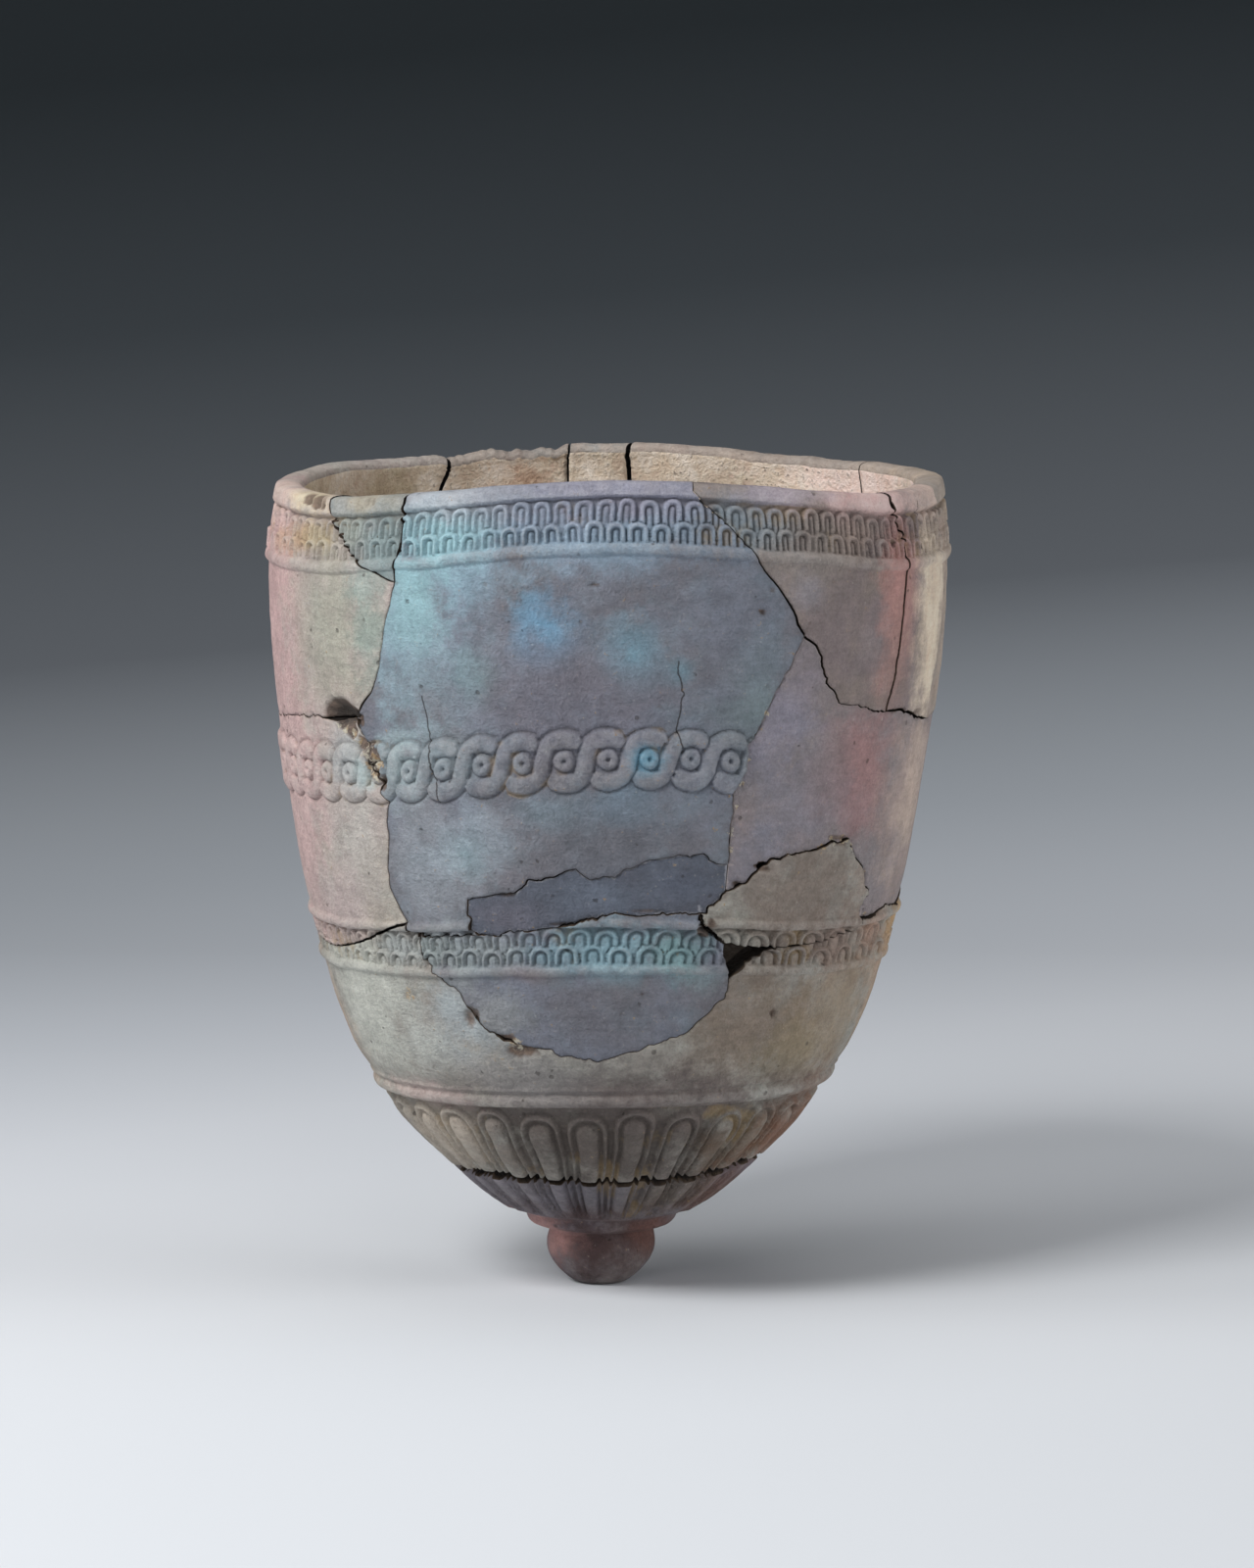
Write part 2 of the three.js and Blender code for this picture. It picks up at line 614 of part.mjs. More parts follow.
// Breaks a vessel along every crack and picks out the named pieces.
function broken(whole, pieces, gaps) {
  const parts = whole.subtract(gaps).decompose();
  return pieces.map(([name, place, finish]) => {
    const ball = probe(place);
    const found = parts.find((part) => part.intersect(ball).volume() > 0);
    if (!found) throw new Error(`no piece of the wall holds the point of ${name}`);
    return meshFrom(found, name, finish);
  });
}

const gaps = wasm.Manifold.union(Object.values(CRACKS).map(jointGap));
const losses = wasm.Manifold.union(FLAKES.map(flake));

const beaker = new THREE.Group();
beaker.name = "beaker";
beaker.add(...broken(vessel(carvedRings()).subtract(losses), SHERDS, gaps));
beaker.add(...broken(vessel(smoothRings()), FILLS, gaps));

export default beaker;
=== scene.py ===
# %% [markdown]
# # A decorated beaker, put back together from its sherds
# The real object is a tall beaker of fired frit, a ground quartz paste. It was formed as one thin
# wall, carved while it was leather-hard, glazed, fired, and much later broken and rejoined.
# This lesson follows the same order: the wall's form, the break lines, the sherds, the carving,
# the worn finish, and last the floor, the light and the camera.

# %% The frame
import json
import math
from functools import partial
import bpy
import numpy as np
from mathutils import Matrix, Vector
from mathutils.geometry import delaunay_2d_cdt
from mathutils.kdtree import KDTree


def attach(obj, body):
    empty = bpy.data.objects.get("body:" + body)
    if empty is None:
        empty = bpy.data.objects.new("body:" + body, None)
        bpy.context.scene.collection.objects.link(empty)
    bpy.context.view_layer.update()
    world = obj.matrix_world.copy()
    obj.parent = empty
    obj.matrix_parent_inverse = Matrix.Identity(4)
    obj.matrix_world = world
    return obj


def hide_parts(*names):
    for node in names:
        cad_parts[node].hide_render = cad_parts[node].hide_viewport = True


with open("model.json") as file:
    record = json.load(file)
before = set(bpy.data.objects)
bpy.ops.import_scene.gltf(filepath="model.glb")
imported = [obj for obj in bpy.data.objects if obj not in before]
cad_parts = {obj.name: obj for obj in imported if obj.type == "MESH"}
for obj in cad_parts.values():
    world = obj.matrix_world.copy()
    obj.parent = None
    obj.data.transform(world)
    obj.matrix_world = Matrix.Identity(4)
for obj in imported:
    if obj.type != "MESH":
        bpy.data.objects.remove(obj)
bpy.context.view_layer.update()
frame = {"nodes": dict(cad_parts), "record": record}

print("CAD nodes:", len(frame["nodes"]))

# %% [markdown]
# ## The form of the wall
# A potter's form is a profile turned round an axis, so two lists of measured points describe
# it: the knob foot with its thin collar, and the wall above. Chaikin's corner cutting rounds the
# foot, and a cubic through the stations gives the wall. All lengths here are millimetres.

# %% Profile
MM = 0.001
TAU = 2 * math.pi
RIM = 180.0
WALL = 6.0
# The inside ends in a floor, which is rounded off up to the edge's height.
FLOOR_HEIGHT, FLOOR_EDGE = 24.2, 28.4
# The turned foot ends and the wall starts at this height. Above the rim line the lip bends over.
WALL_STARTS, RIM_LINE = 18.0, 178.1
# The axis leans to the right by this much at the rim, and the inner face is turned by this angle.
LEAN, TWIST = 2.1, 0.018
# The profile has a point for every step, and runs on over the rim, so that breaks can cross it.
PROFILE_STEP, OVER_RIM = 0.25, 7
# Points of the foot and of the wall, each a height and a radius.
FOOT = [
    (0, 0), (0, 5.4), (0.5, 6.4), (1.6, 7.9), (3.2, 9.7), (5.4, 11.4), (7.8, 12.3), (9.8, 12.3),
    (11.6, 11.9), (12.5, 11.8), (12.9, 12.6), (13.4, 15.0), (14.2, 16.4), (15.2, 16.9), (16.2, 17.1),
    (16.8, 18.1), (17.3, 20.0), (18.0, 22.0),
]
STATIONS = [
    (18, 22.0), (20.5, 25.4), (23.2, 28.8), (28.4, 34.4), (33.6, 39.9), (38.9, 44.9), (44.1, 48.6),
    (49.4, 51.8), (54.6, 55.3), (60, 57.8), (67.7, 60.7), (73, 62.2), (83.4, 64.9), (91.3, 67.0),
    (107, 70.0), (122.8, 72.4), (138.6, 74.5), (154.3, 75.6), (162, 75.7), (170, 75.3), (180, 73.7),
]


def cut_corners(points, rounds):
    """Chaikin's rule: each corner gives way to two points, a quarter along its sides."""
    points = np.array(points, float)
    for _ in range(rounds):
        left = 0.75 * points[:-1] + 0.25 * points[1:]
        right = 0.25 * points[:-1] + 0.75 * points[1:]
        between = np.stack([left, right], 1).reshape(-1, 2)
        points = np.vstack([points[:1], between, points[-1:]])
    return points


def cubic(stations, heights):
    """Radii at the heights, on a smooth curve through the stations."""
    h, r = np.array(stations, float).T
    rise = np.diff(r) / np.diff(h)
    below, above = np.diff(h)[:-1], np.diff(h)[1:]
    between = (rise[:-1] * above + rise[1:] * below) / (below + above)
    slope = np.concatenate([rise[:1], between, rise[-1:]])
    i = np.clip(np.searchsorted(h, heights, "right") - 1, 0, len(h) - 2)
    span = h[i + 1] - h[i]
    t = (heights - h[i]) / span
    return (
        (2 * t**3 - 3 * t**2 + 1) * r[i] + (t**3 - 2 * t**2 + t) * slope[i] * span
        + (3 * t**2 - 2 * t**3) * r[i + 1] + (t**3 - t**2) * slope[i + 1] * span
    )


foot = cut_corners(FOOT, 3)
wall_heights = np.arange(WALL_STARTS, RIM + OVER_RIM, PROFILE_STEP)[1:]
wall = np.stack([wall_heights, cubic(STATIONS, np.minimum(wall_heights, RIM))], 1)
profile_z, profile_r = np.vstack([foot, wall]).T
step = np.hypot(np.diff(profile_z), np.diff(profile_r))
foot_length = step[: len(foot) - 1].sum()
# A place on the profile is its height above WALL_STARTS, and below that its length along the foot.
foot_place = WALL_STARTS - foot_length + np.concatenate([[0], np.cumsum(step[: len(foot) - 1])])
profile_place = np.concatenate([foot_place, wall_heights])
tangent = np.gradient(np.stack([profile_r, profile_z], 1), axis=0)
tangent /= np.linalg.norm(tangent, axis=1, keepdims=True)
print("profile points:", len(profile_z), "foot length:", round(float(foot_length), 1), "mm")

# %% [markdown]
# ## A flat map of the wall
# Cracks, sherds and triangles are easiest to handle flat. The map is a disc: the middle of the foot
# is its centre, and the rim is its edge. Its radius grows by the rule of a map that keeps angles,
# so a small square on the wall is a small square on the map, and there is no seam to close.

# %% Map
MAP_RADIUS = 75
mean_radius = np.maximum((profile_r[1:] + profile_r[:-1]) / 2, 1e-6)
growth = np.concatenate([[0, 0], np.cumsum(step[1:] / mean_radius[1:])])
profile_rho = np.exp(growth - growth[-1]) * MAP_RADIUS
profile_rho[0] = 0


def on_profile(values, places):
    return np.interp(places, profile_place, values)


def to_map(angles, places):
    rho = on_profile(profile_rho, places)
    return np.stack([rho * np.sin(angles), rho * np.cos(angles)], 1)


def from_map(points):
    rho = np.hypot(points[:, 0], points[:, 1])
    return np.arctan2(points[:, 0], points[:, 1]), np.interp(rho, profile_rho, profile_place)


def turn_from(start, angles):
    """The shorter way round from a start to each angle, below 0 to the left."""
    return (angles - start + math.pi) % TAU - math.pi


def away_from(spot_angle, spot_place, angles, places):
    """How far points lie from a spot in millimetres, round the wall and up it."""
    across = turn_from(math.radians(spot_angle), angles) * on_profile(profile_r, spot_place)
    return across, places - spot_place


def map_scale(places):
    """Map units to a millimetre of wall."""
    return on_profile(profile_rho, places) / np.maximum(on_profile(profile_r, places), 0.05)


# %% [markdown]
# ## Warps of the drying clay
# The bands and the rim stand higher in front and behind than at the sides, and the axis leans a
# little. The bands were carved true to the warped rim, so one function moves everything.

# %% Warps
RISE_ANGLE = math.radians(3)
RISE_HEIGHTS, RISES = (30, 120, 175.3, 180), (0, 6.7, 6.7, 4.4)
# The rim is a little higher on the right and at the back: the angles in degrees, and the swell there.
SWELL_STARTS = 120
SWELL_ANGLES = (0, 55, 92, 122, 150, 180, 215, 241, 270, 300, 360)
SWELLS = (0, 0, 2.6, 2.9, 1.4, 0.4, 0.8, 3.0, 1.6, 0, 0)


def warped(angles, radius, z):
    rise = np.interp(z, RISE_HEIGHTS, RISES) * np.cos(angles - RISE_ANGLE) ** 4
    swell = np.interp(np.degrees(angles) % 360, SWELL_ANGLES, SWELLS)
    swell *= np.clip((z - SWELL_STARTS) / (RIM - SWELL_STARTS), 0, 1) ** 2
    x = radius * np.sin(angles) + LEAN * z / RIM
    return np.stack([x, -radius * np.cos(angles), z + rise + swell], 1)


def directions(angles, places):
    """Unit vectors round the wall, up the wall and out of it."""
    up_r, up_z = on_profile(tangent[:, 0], places), on_profile(tangent[:, 1], places)
    s, c, zero = np.sin(angles), np.cos(angles), np.zeros_like(angles)
    around = np.stack([c, s, zero], 1)
    up = np.stack([up_r * s, -up_r * c, up_z], 1)
    out = np.stack([up_z * s, -up_z * c, -up_r], 1)
    return around, up, out


def outer_point(angles, places):
    return warped(angles, on_profile(profile_r, places), on_profile(profile_z, places))


def inner_point(angles, places):
    """The outer face moved in by the wall, rounded off into the floor, and turned a little, so that
    the breaks run aslant through the wall and no light shows through them."""
    high = np.maximum(places, FLOOR_EDGE)
    out_r, out_z = on_profile(tangent[:, 1], high), -on_profile(tangent[:, 0], high)
    radius = on_profile(profile_r, high) - WALL * out_r
    # Towards the rim the face moves in without going up or down, so that the lip stays level.
    z = high - WALL * out_z * np.clip((176 - high) / 20, 0, 1)
    share = np.minimum(1, on_profile(profile_rho, places) / on_profile(profile_rho, FLOOR_EDGE))
    z = FLOOR_HEIGHT + (z - FLOOR_HEIGHT) * share**2
    return warped(angles + TWIST, radius * share, z)


# %% [markdown]
# ## The break lines
# Each line was chosen along a crack: an angle in degrees from the front, a height on the
# wall, and where it gapes more than a glued joint, its width. Lines that go over the rim end above
# it. A break is never smooth, so each line is cut into half-millimetre steps, and a seeded sum of
# waves roughens it. A line passes its neighbour by almost a millimetre, so that no sliver holds them.

# %% Lines of the breaks
# The gap of a glued joint, where a line gives no other.
JOINT = 0.17
BREAKS = {
    "wedge_left": [(-54, 184, .4), (-54, 177.8, .4), (-53, 174.5, .55), (-50, 170.5, .6),
                   (-47, 167.1, .6), (-44, 164.5, .6), (-41, 162.9, .55), (-38, 161.1, .5),
                   (-37, 160.7, .3)],
    "main_left": [(-35, 184, .9), (-35, 180.4, .9), (-36, 177.2, .8), (-36, 172.7, .65), (-36, 168, .55),
                  (-37, 164, .5), (-37, 160.7, .35), (-38, 156.3, .2), (-39, 153), (-40, 147.8),
                  (-41, 141.9), (-42, 139.6, .3), (-43, 137.1, .4), (-45, 135, .6), (-46, 133.5, .6),
                  (-47, 131.4, .5), (-46, 128.4), (-45, 126.9), (-44, 124.9), (-45, 121.5), (-42, 118),
                  (-42, 115.1), (-41, 113.6), (-42, 108.7), (-42, 104.9), (-43, 99.1), (-43, 94.6),
                  (-42, 91.2), (-40, 87.2)],
    "left_across": [(-46.5, 131.6, .4), (-53, 131, .3), (-58, 131.7, .14), (-68, 131.1, .14),
                    (-86, 129.1, .14)],
    "low_left": [(-85, 80), (-75, 79.9), (-70, 79.7, .2), (-64, 80.1, .3), (-58, 81.2, .4),
                 (-54, 82.4, .5), (-49, 84.1, .6), (-45, 85.7, .6), (-42, 86.6, .6), (-40, 87, .5)],
    "band_top": [(-40, 87.4), (-40, 85.5, .5), (-38, 84.4, .4), (-33, 84), (-25, 84.2), (-22, 83.9),
                 (-18, 84.4), (-13, 84.7), (-9, 85.1), (-5, 86.1), (-1, 87.1), (2, 88), (3, 87.6),
                 (7, 87.2), (11, 87.6), (14, 88), (17, 87.7), (20, 88.1)],
    "low_front": [(-38, 84.4), (-38, 79.8), (-36, 77.6), (-34, 74.8), (-31, 72.9), (-30, 71.5),
                  (-29, 69.2), (-28, 67.3), (-27, 65.7), (-25, 63.8, .3), (-23, 62.5, .35),
                  (-19, 60.4, .35), (-15, 59.8, .3), (-11, 59.3), (-9, 58), (-5, 57.4), (-1, 56.7),
                  (2, 57.4), (5, 58.5), (9, 59.4), (14, 61.5), (18, 62.5), (20, 64.8), (23, 67.5),
                  (25, 70), (26, 71.9), (26, 74.5), (25, 76.8), (24, 80.1), (24, 82, .6), (22, 83.4, .9),
                  (20, 84.3, 1.1), (19, 85.6, 1.2), (18.3, 88.6, .8)],
    "fill_front": [(-24, 84), (-26, 85.4), (-26, 87), (-26, 91.8), (-23, 92.2, .25), (-17, 92.8, .3),
                   (-15, 93.9, .3), (-13, 95.2, .4), (-9, 95.7, .4), (-7, 96.8, .3), (-5, 97.2, .25),
                   (-3, 95.3, .25), (-1, 94.8, .2), (2, 95.9), (5, 97.2), (8, 98.9), (11, 99.3),
                   (14, 99.9, .2), (16, 100.4, .25), (18, 100, .25), (19, 99.6, .2), (21, 98.4),
                   (23.4, 98.4)],
    "fill_left": [(35, 150.2), (34, 147.3), (33, 144.8), (32, 141.5), (30, 137.3), (29, 134.1), (28, 131),
                  (27, 127.5), (26, 125.1), (25, 123.7), (25, 118.4), (24, 115.9), (23, 113.9),
                  (23, 107.5), (23, 98.4), (23, 92.5)],
    "diagonal": [(13, 184), (13, 179.9), (14, 178.1), (16, 174.3), (19, 171.4), (21, 168.7),
                 (24, 165.4, .2), (26, 161.6, .3), (29, 157.8, .4), (32, 153.1, .55), (33, 150.1, .6),
                 (34.4, 147.8, .5)],
    "fill_top": [(33.4, 148.2, .5), (37, 146.1, .4), (38, 143.6, .3), (39, 140, .35), (40, 138.1, .3),
                 (42, 136.1, .25), (43, 133.9), (46, 133.7), (50, 133.4), (53, 132.3, .35),
                 (58, 132.4, .35), (62, 132.4, .4), (67, 130.8, .4), (74, 129.4)],
    "fill_low": [(19.2, 87), (20, 89.2), (22, 91.1), (23, 92.7), (25, 94), (27, 94.7), (28, 96.4, .3),
                 (30, 98.4, .4), (32, 99.8, .4), (35, 100.9), (39, 101.7), (42, 102.4, .3),
                 (45, 103.7, .4), (50, 104.4, .3), (51, 102.7, .4), (53, 100.3, .5), (56, 98, .6),
                 (58, 94.2, .4), (60, 92.3, .6), (58, 89.1, .5), (58.8, 86.4, .4)],
    "fill_corner": [(58, 86.6, .35), (64, 86.6, .2), (68, 87.7), (72, 88.2), (81.5, 87)],
    "right_band": [(19, 86, .9), (21, 84, .8), (24, 81.8, .6), (28, 81.2, .4), (35, 81.1), (40, 81.3),
                   (45, 81.9), (49, 82.4), (53, 83.4), (57, 83.8), (59, 85.1), (59.2, 87.2)],
    "chip_edge": [(36.8, 81.4), (33.8, 80.7), (31.2, 79.3), (28.9, 77.4), (27.1, 75.8), (25.6, 74)],
    "rim_right": [(54, 184, .1), (54, 179.5, .1), (56, 176.5, .1), (57, 172.8, .1), (58, 170.8, .1),
                  (58.5, 167.7, .08), (59, 163, .05), (58.5, 158.7, .03), (58, 152.4, .03),
                  (57, 139, .03), (56, 134.3, .05), (55.5, 131.4, .08)],
    "rim_edge": [(72, 184, .4), (72, 179.7, .4), (75, 175.7, .4), (76, 167.1, .4), (78, 158.2, .3),
                 (76, 145.3, .3), (74, 136.9, .3), (74, 128.4, .3)],
    "rim_far": [(122, 184, .5), (122, 171, .4), (119.5, 153), (123, 138.6), (121, 127.4)],
    "rim_back": [(175.5, 184, 1.3), (175.2, 172, 1.1), (175, 162, .9), (177, 144, .5), (178, 128.9)],
    "rim_narrow": [(187.2, 184, .7), (187, 165.6, .4), (190, 151.2), (184, 138.6), (177.6, 130.3)],
    "rim_chipped": [(213.5, 184, 1.4), (212, 176, 1.2), (214, 169, 1), (211, 154.8, .6), (216, 140.4),
                    (213, 127.4)],
    "back_across": [(-85, 129.2), (-100, 131), (-120, 125.1), (-150, 128.7), (-181, 129.6), (-200, 132.3),
                    (-220, 126.9), (-260, 131.4), (-287, 129.4)],
    "back_low": [(-84, 79.9), (-91, 88), (-108, 90.9), (-130, 93.6), (-150, 90.7), (-172, 96.3),
                 (-190, 91.8), (-214, 95.4), (-242, 90.4), (-265, 91.1), (-279, 86.9)],
    "back_middle_left": [(-98, 132), (-102, 115.2), (-97, 100.8), (-101, 88.6)],
    "back_middle_right": [(-195, 132.6), (-200, 118.8), (-194, 104.4), (-198, 92.2)],
    "fill_back": [(-247, 131), (-243, 117), (-249, 104.4), (-247, 89.6)],
    "bowl_back_left": [(-112, 92.5), (-107, 72), (-111, 50.4), (-108, 27)],
    "bowl_back_right": [(-243, 91.4), (-238, 68.4), (-242, 46.8), (-239, 27)],
}
# The base stands in a wider gap, with a line above it and a line below it.
BASE_ABOVE = [
    (-180, 28.6), (-150, 28.7), (-120, 28.4), (-90, 28.5), (-62, 28.5), (-42, 29.4), (-26, 28.6),
    (2, 28.5), (21, 28.8), (38, 29.0), (52, 30.4), (58, 31.1), (75, 30.8), (90, 30.0), (120, 28.9),
    (150, 28.7), (180, 28.6),
]
BASE_BELOW = [
    (-180, 27.8), (-150, 27.9), (-120, 27.6), (-90, 27.4), (-60, 27.0), (-42, 27.3), (-28, 27.3),
    (-10, 27.5), (3, 27.5), (18, 27.3), (31, 27.2), (45, 27.8), (58, 29.5), (64, 29.9), (75, 29.7),
    (90, 28.9), (120, 28.1), (150, 27.9), (180, 27.8),
]

# Where the wall crumbled the lines are rough, and where it parted cleanly they are calm.
USUAL_ROUGHNESS = 0.45
ROUGHNESS = {
    "band_top": 0.9, "fill_front": 0.9, "fill_top": 0.9, "rim_chipped": 0.9, "fill_low": 0.8,
    "low_front": 0.8, "left_across": 0.8, "main_left": 0.3, "rim_back": 0.3, "rim_edge": 0.3,
    "rim_right": 0.25, "diagonal": 0.25, "wedge_left": 0.12,
}
# Hairlines stop inside a sherd: two in the front sherd, and one at the rim on the right.
HAIRLINES = [
    [(-32, 134.8), (-31.2, 130), (-31, 125.8), (-31, 118.8), (-30, 116.6), (-30, 113.5)],
    [(12, 139.8), (12, 137.6), (13, 133.5), (12, 126), (13, 122.9)],
    [(64, 176.6), (63.5, 172), (65, 166.5)],
]
# The waves of a break, each with its length and its height.
WAVES = ((8, .36), (3.1, .16), (1.3, .08))
# How far a line passes its neighbour, and over what length its ends are calm.
OVERLAP, CALM_LENGTH = 0.9, 3
RIM_POINTS = 1300


def waves(distance, seed):
    """A seeded roughness in millimetres along a line: a few waves of each length. It comes and goes,
    so that a break has straight stretches and ragged ones."""
    rng = np.random.default_rng(seed)
    total = np.zeros_like(distance)
    swell = 0.6 + 0.5 * np.sin(TAU * distance / 19 + rng.uniform(0, 6.28))
    for length, height in WAVES:
        for share in (1.0, 0.73, 0.55):
            total += height * 0.6 * np.sin(TAU * distance / (length * share) + rng.uniform(0, 6.28))
    return total * swell


def roughened(line, seed, closed=False, spacing=0.45, rough=0.3):
    """Points of one break on the map, about half a millimetre apart, and the gap at each."""
    angle, place, gap = np.array([(*p, JOINT)[:3] for p in line], float).T
    angle = np.radians(angle)
    radius = on_profile(profile_r, place)
    stretch = 1 / np.maximum(on_profile(tangent[:, 1], place), 0.3)
    if not closed:
        for end, inner in ((0, 1), (-1, -2)):
            run = np.array([(angle[end] - angle[inner]) * radius[end],
                            (place[end] - place[inner]) * stretch[end]])
            run *= OVERLAP / np.hypot(*run)
            angle[end] += run[0] / radius[end]
            place[end] += run[1] / stretch[end]
    length = np.hypot(np.diff(angle) * (radius[1:] + radius[:-1]) / 2,
                      np.diff(place) * (stretch[1:] + stretch[:-1]) / 2)
    run = np.concatenate([[0], np.cumsum(length)])
    at = np.linspace(0, run[-1], int(np.ceil(run[-1] / spacing)) + 1)
    angle, place, gap = (np.interp(at, run, v) for v in (angle, place, gap))
    points = to_map(angle, place)
    along = np.gradient(points, axis=0)
    side = np.stack([-along[:, 1], along[:, 0]], 1) / np.linalg.norm(along, axis=1)[:, None]
    calm = np.clip(np.minimum(at, run[-1] - at) / CALM_LENGTH, 0, 1)
    points += side * (rough * waves(at, seed) * calm * map_scale(place))[:, None]
    return points, gap


def gather_lines():
    """All break lines and the rim line as points, edges, and a gap for each point. The rim's is -1."""
    points, edges, gaps, count = [], [], [], 0
    lines = [(roughened(line, 100 + i, rough=ROUGHNESS.get(name, USUAL_ROUGHNESS)), False)
             for i, (name, line) in enumerate(BREAKS.items())]
    lines += [(roughened(line, 300 + i, closed=True), True)
              for i, line in enumerate((BASE_ABOVE, BASE_BELOW))]
    rim_angles = np.arange(RIM_POINTS + 1) / RIM_POINTS * TAU
    rim = to_map(rim_angles, np.full(RIM_POINTS + 1, RIM_LINE))
    lines.append(((rim, np.full(RIM_POINTS + 1, -1.0)), True))
    for (line, gap), closed in lines:
        if closed:
            line, gap = line[:-1], gap[:-1]
        index = np.arange(count, count + len(line))
        edges.append(np.stack([index[:-1], index[1:]], 1))
        if closed:
            edges.append([[index[-1], index[0]]])
        points.append(line)
        gaps.append(gap)
        count += len(line)
    return np.vstack(points), np.vstack(edges), np.concatenate(gaps)


line_points, line_edges, line_gaps = gather_lines()
hair_points = np.vstack([roughened(line, 500 + i, spacing=0.3, rough=0.7)[0]
                         for i, line in enumerate(HAIRLINES)])
print("break points:", len(line_points), "hairline points:", len(hair_points))

# %% [markdown]
# ## Sherds as regions of the map
# Blender's constrained Delaunay triangulation fills a map with triangles that keep to given lines.
# It is run three times: once on the lines alone, to find where they cross, and then with fine
# points for the outer face and coarse points for the inner face. A flood fill that starts at one
# seed in each sherd and stops at the lines gives each triangle its sherd.

# %% Regions
SEEDS = {
    "front_sherd": (-10, 144), "rim_wedge_sherd": (-42, 171), "upper_left_sherd": (-80, 153),
    "middle_left_sherd": (-70, 108), "upper_right_sherd": (45, 153), "rim_right_sherd": (66, 153),
    "far_right_sherd": (100, 153), "back_right_rim_sherd": (150, 153),
    "back_narrow_rim_sherd": (181, 162), "back_chipped_rim_sherd": (200, 153),
    "back_middle_left_sherd": (-150, 108), "back_middle_right_sherd": (138, 108),
    "triangular_sherd": (45, 92), "lower_front_sherd": (0, 72), "lower_bowl_sherd": (-60, 54),
    "lower_back_sherd": (-175, 54), "base_sherd": (0, 12), "front_fill": (0, 92.3),
    "right_fill": (70, 108),
}
# Two regions belong to no sherd: the missing chip and the gap over the base.
LOST = {"chip": (27.3, 79.8), "base_gap": (-10, 28.05)}
NAMES = list(SEEDS)
MOST_POINTS = 10_000_000


def triangulate(points, edges):
    """Triangles between points, kept to the edges. Gives points, triangles and each point's source."""
    vectors = [Vector(p) for p in points.tolist()]
    out = delaunay_2d_cdt(vectors, edges.tolist(), [], 0, 1e-6, True)
    source = np.array([ids[0] if ids else -1 for ids in out[3]])
    edge_sources = [bool(ids) for ids in out[4]]
    kept = np.array(out[1])[np.array(edge_sources)]
    return np.array([tuple(v) for v in out[0]]), np.array(out[2]), source, kept


def edge_key(a, b):
    """One number for each edge, whichever way it runs."""
    return np.minimum(a, b).astype(np.int64) * MOST_POINTS + np.maximum(a, b)


def neighbours(triangles, walls):
    """For each side of each triangle, the triangle across it, or -1 at a wall or at the hull."""
    a, b = triangles, np.roll(triangles, -1, axis=1)
    key = edge_key(a, b).ravel()
    order = np.argsort(key, kind="stable")
    same = key[order][:-1] == key[order][1:]
    across = np.full(key.shape, -1)
    first, second = order[:-1][same], order[1:][same]
    across[first], across[second] = second // 3, first // 3
    if len(walls):
        across[np.isin(key, edge_key(walls[:, 0], walls[:, 1]))] = -1
    return across.reshape(-1, 3)


def flood(triangles, points, across, seeds):
    """The label of each triangle: a seed's number spreads until it meets a line."""
    centres = points[triangles].mean(1)
    labels = np.full(len(triangles), -1)
    for label, (angle, place) in enumerate(seeds):
        at = to_map(np.radians([angle]), np.array([place]))[0]
        labels[np.argmin(np.hypot(*(centres - at).T))] = label
    front = np.flatnonzero(labels >= 0)
    while len(front):
        near = across[front]
        label = np.repeat(labels[front][:, None], 3, 1)
        free = (near >= 0) & (labels[near] < 0)
        labels[near[free]] = label[free]
        front = np.unique(near[free])
    return labels


def crossed_lines(seeds):
    """Crossed lines: the points and the edges that part two sherds, without crumbs and loose ends."""
    points, triangles, source, kept = triangulate(line_points, line_edges)
    across = neighbours(triangles, kept)
    labels = flood(triangles, points, across, seeds)
    open_sides = neighbours(triangles, np.empty((0, 2), int))
    inside = np.hypot(*points[triangles].mean(1).T) < on_profile(profile_rho, RIM_LINE) - 0.01
    crumbs = 0
    for _ in range(40):
        loose = np.flatnonzero((labels < 0) & inside)
        if not len(loose):
            break
        near = open_sides[loose]
        found = np.where((near >= 0), labels[near], -1).max(1)
        labels[loose[found >= 0]] = found[found >= 0]
        crumbs += int((found >= 0).sum())
    labels[~inside] = -1
    a, b = triangles, np.roll(triangles, -1, axis=1)
    other = np.where(open_sides >= 0, labels[open_sides], -1)
    parting = other != labels[:, None]
    edges = np.unique(np.sort(np.stack([a[parting], b[parting]], 1), axis=1), axis=0)
    # Where lines cross there is a new point, which takes the gap of the nearest old one.
    gap = line_gaps[np.maximum(source, 0)]
    old = KDTree(len(line_points))
    for number in np.flatnonzero(line_gaps >= 0).tolist():
        old.insert((*line_points[number], 0), number)
    old.balance()
    for number in np.flatnonzero(source < 0):
        gap[number] = line_gaps[old.find((*points[number], 0))[1]]
    return points, edges, gap, crumbs


all_seeds = list(SEEDS.values()) + list(LOST.values())
line_points, line_edges, line_gaps, crumbs = crossed_lines(all_seeds)
print("edges between sherds:", len(line_edges), "crumbs given back:", crumbs)

# %% [markdown]
# ## Points for the two faces
# The carving needs a point about every 0.4 mm, the plain wall between only every 0.7 mm. Rows of
# points are set round the wall at that spacing, each row half a step on from the last, and points
# too near a break are left out so that no triangle there is squeezed.

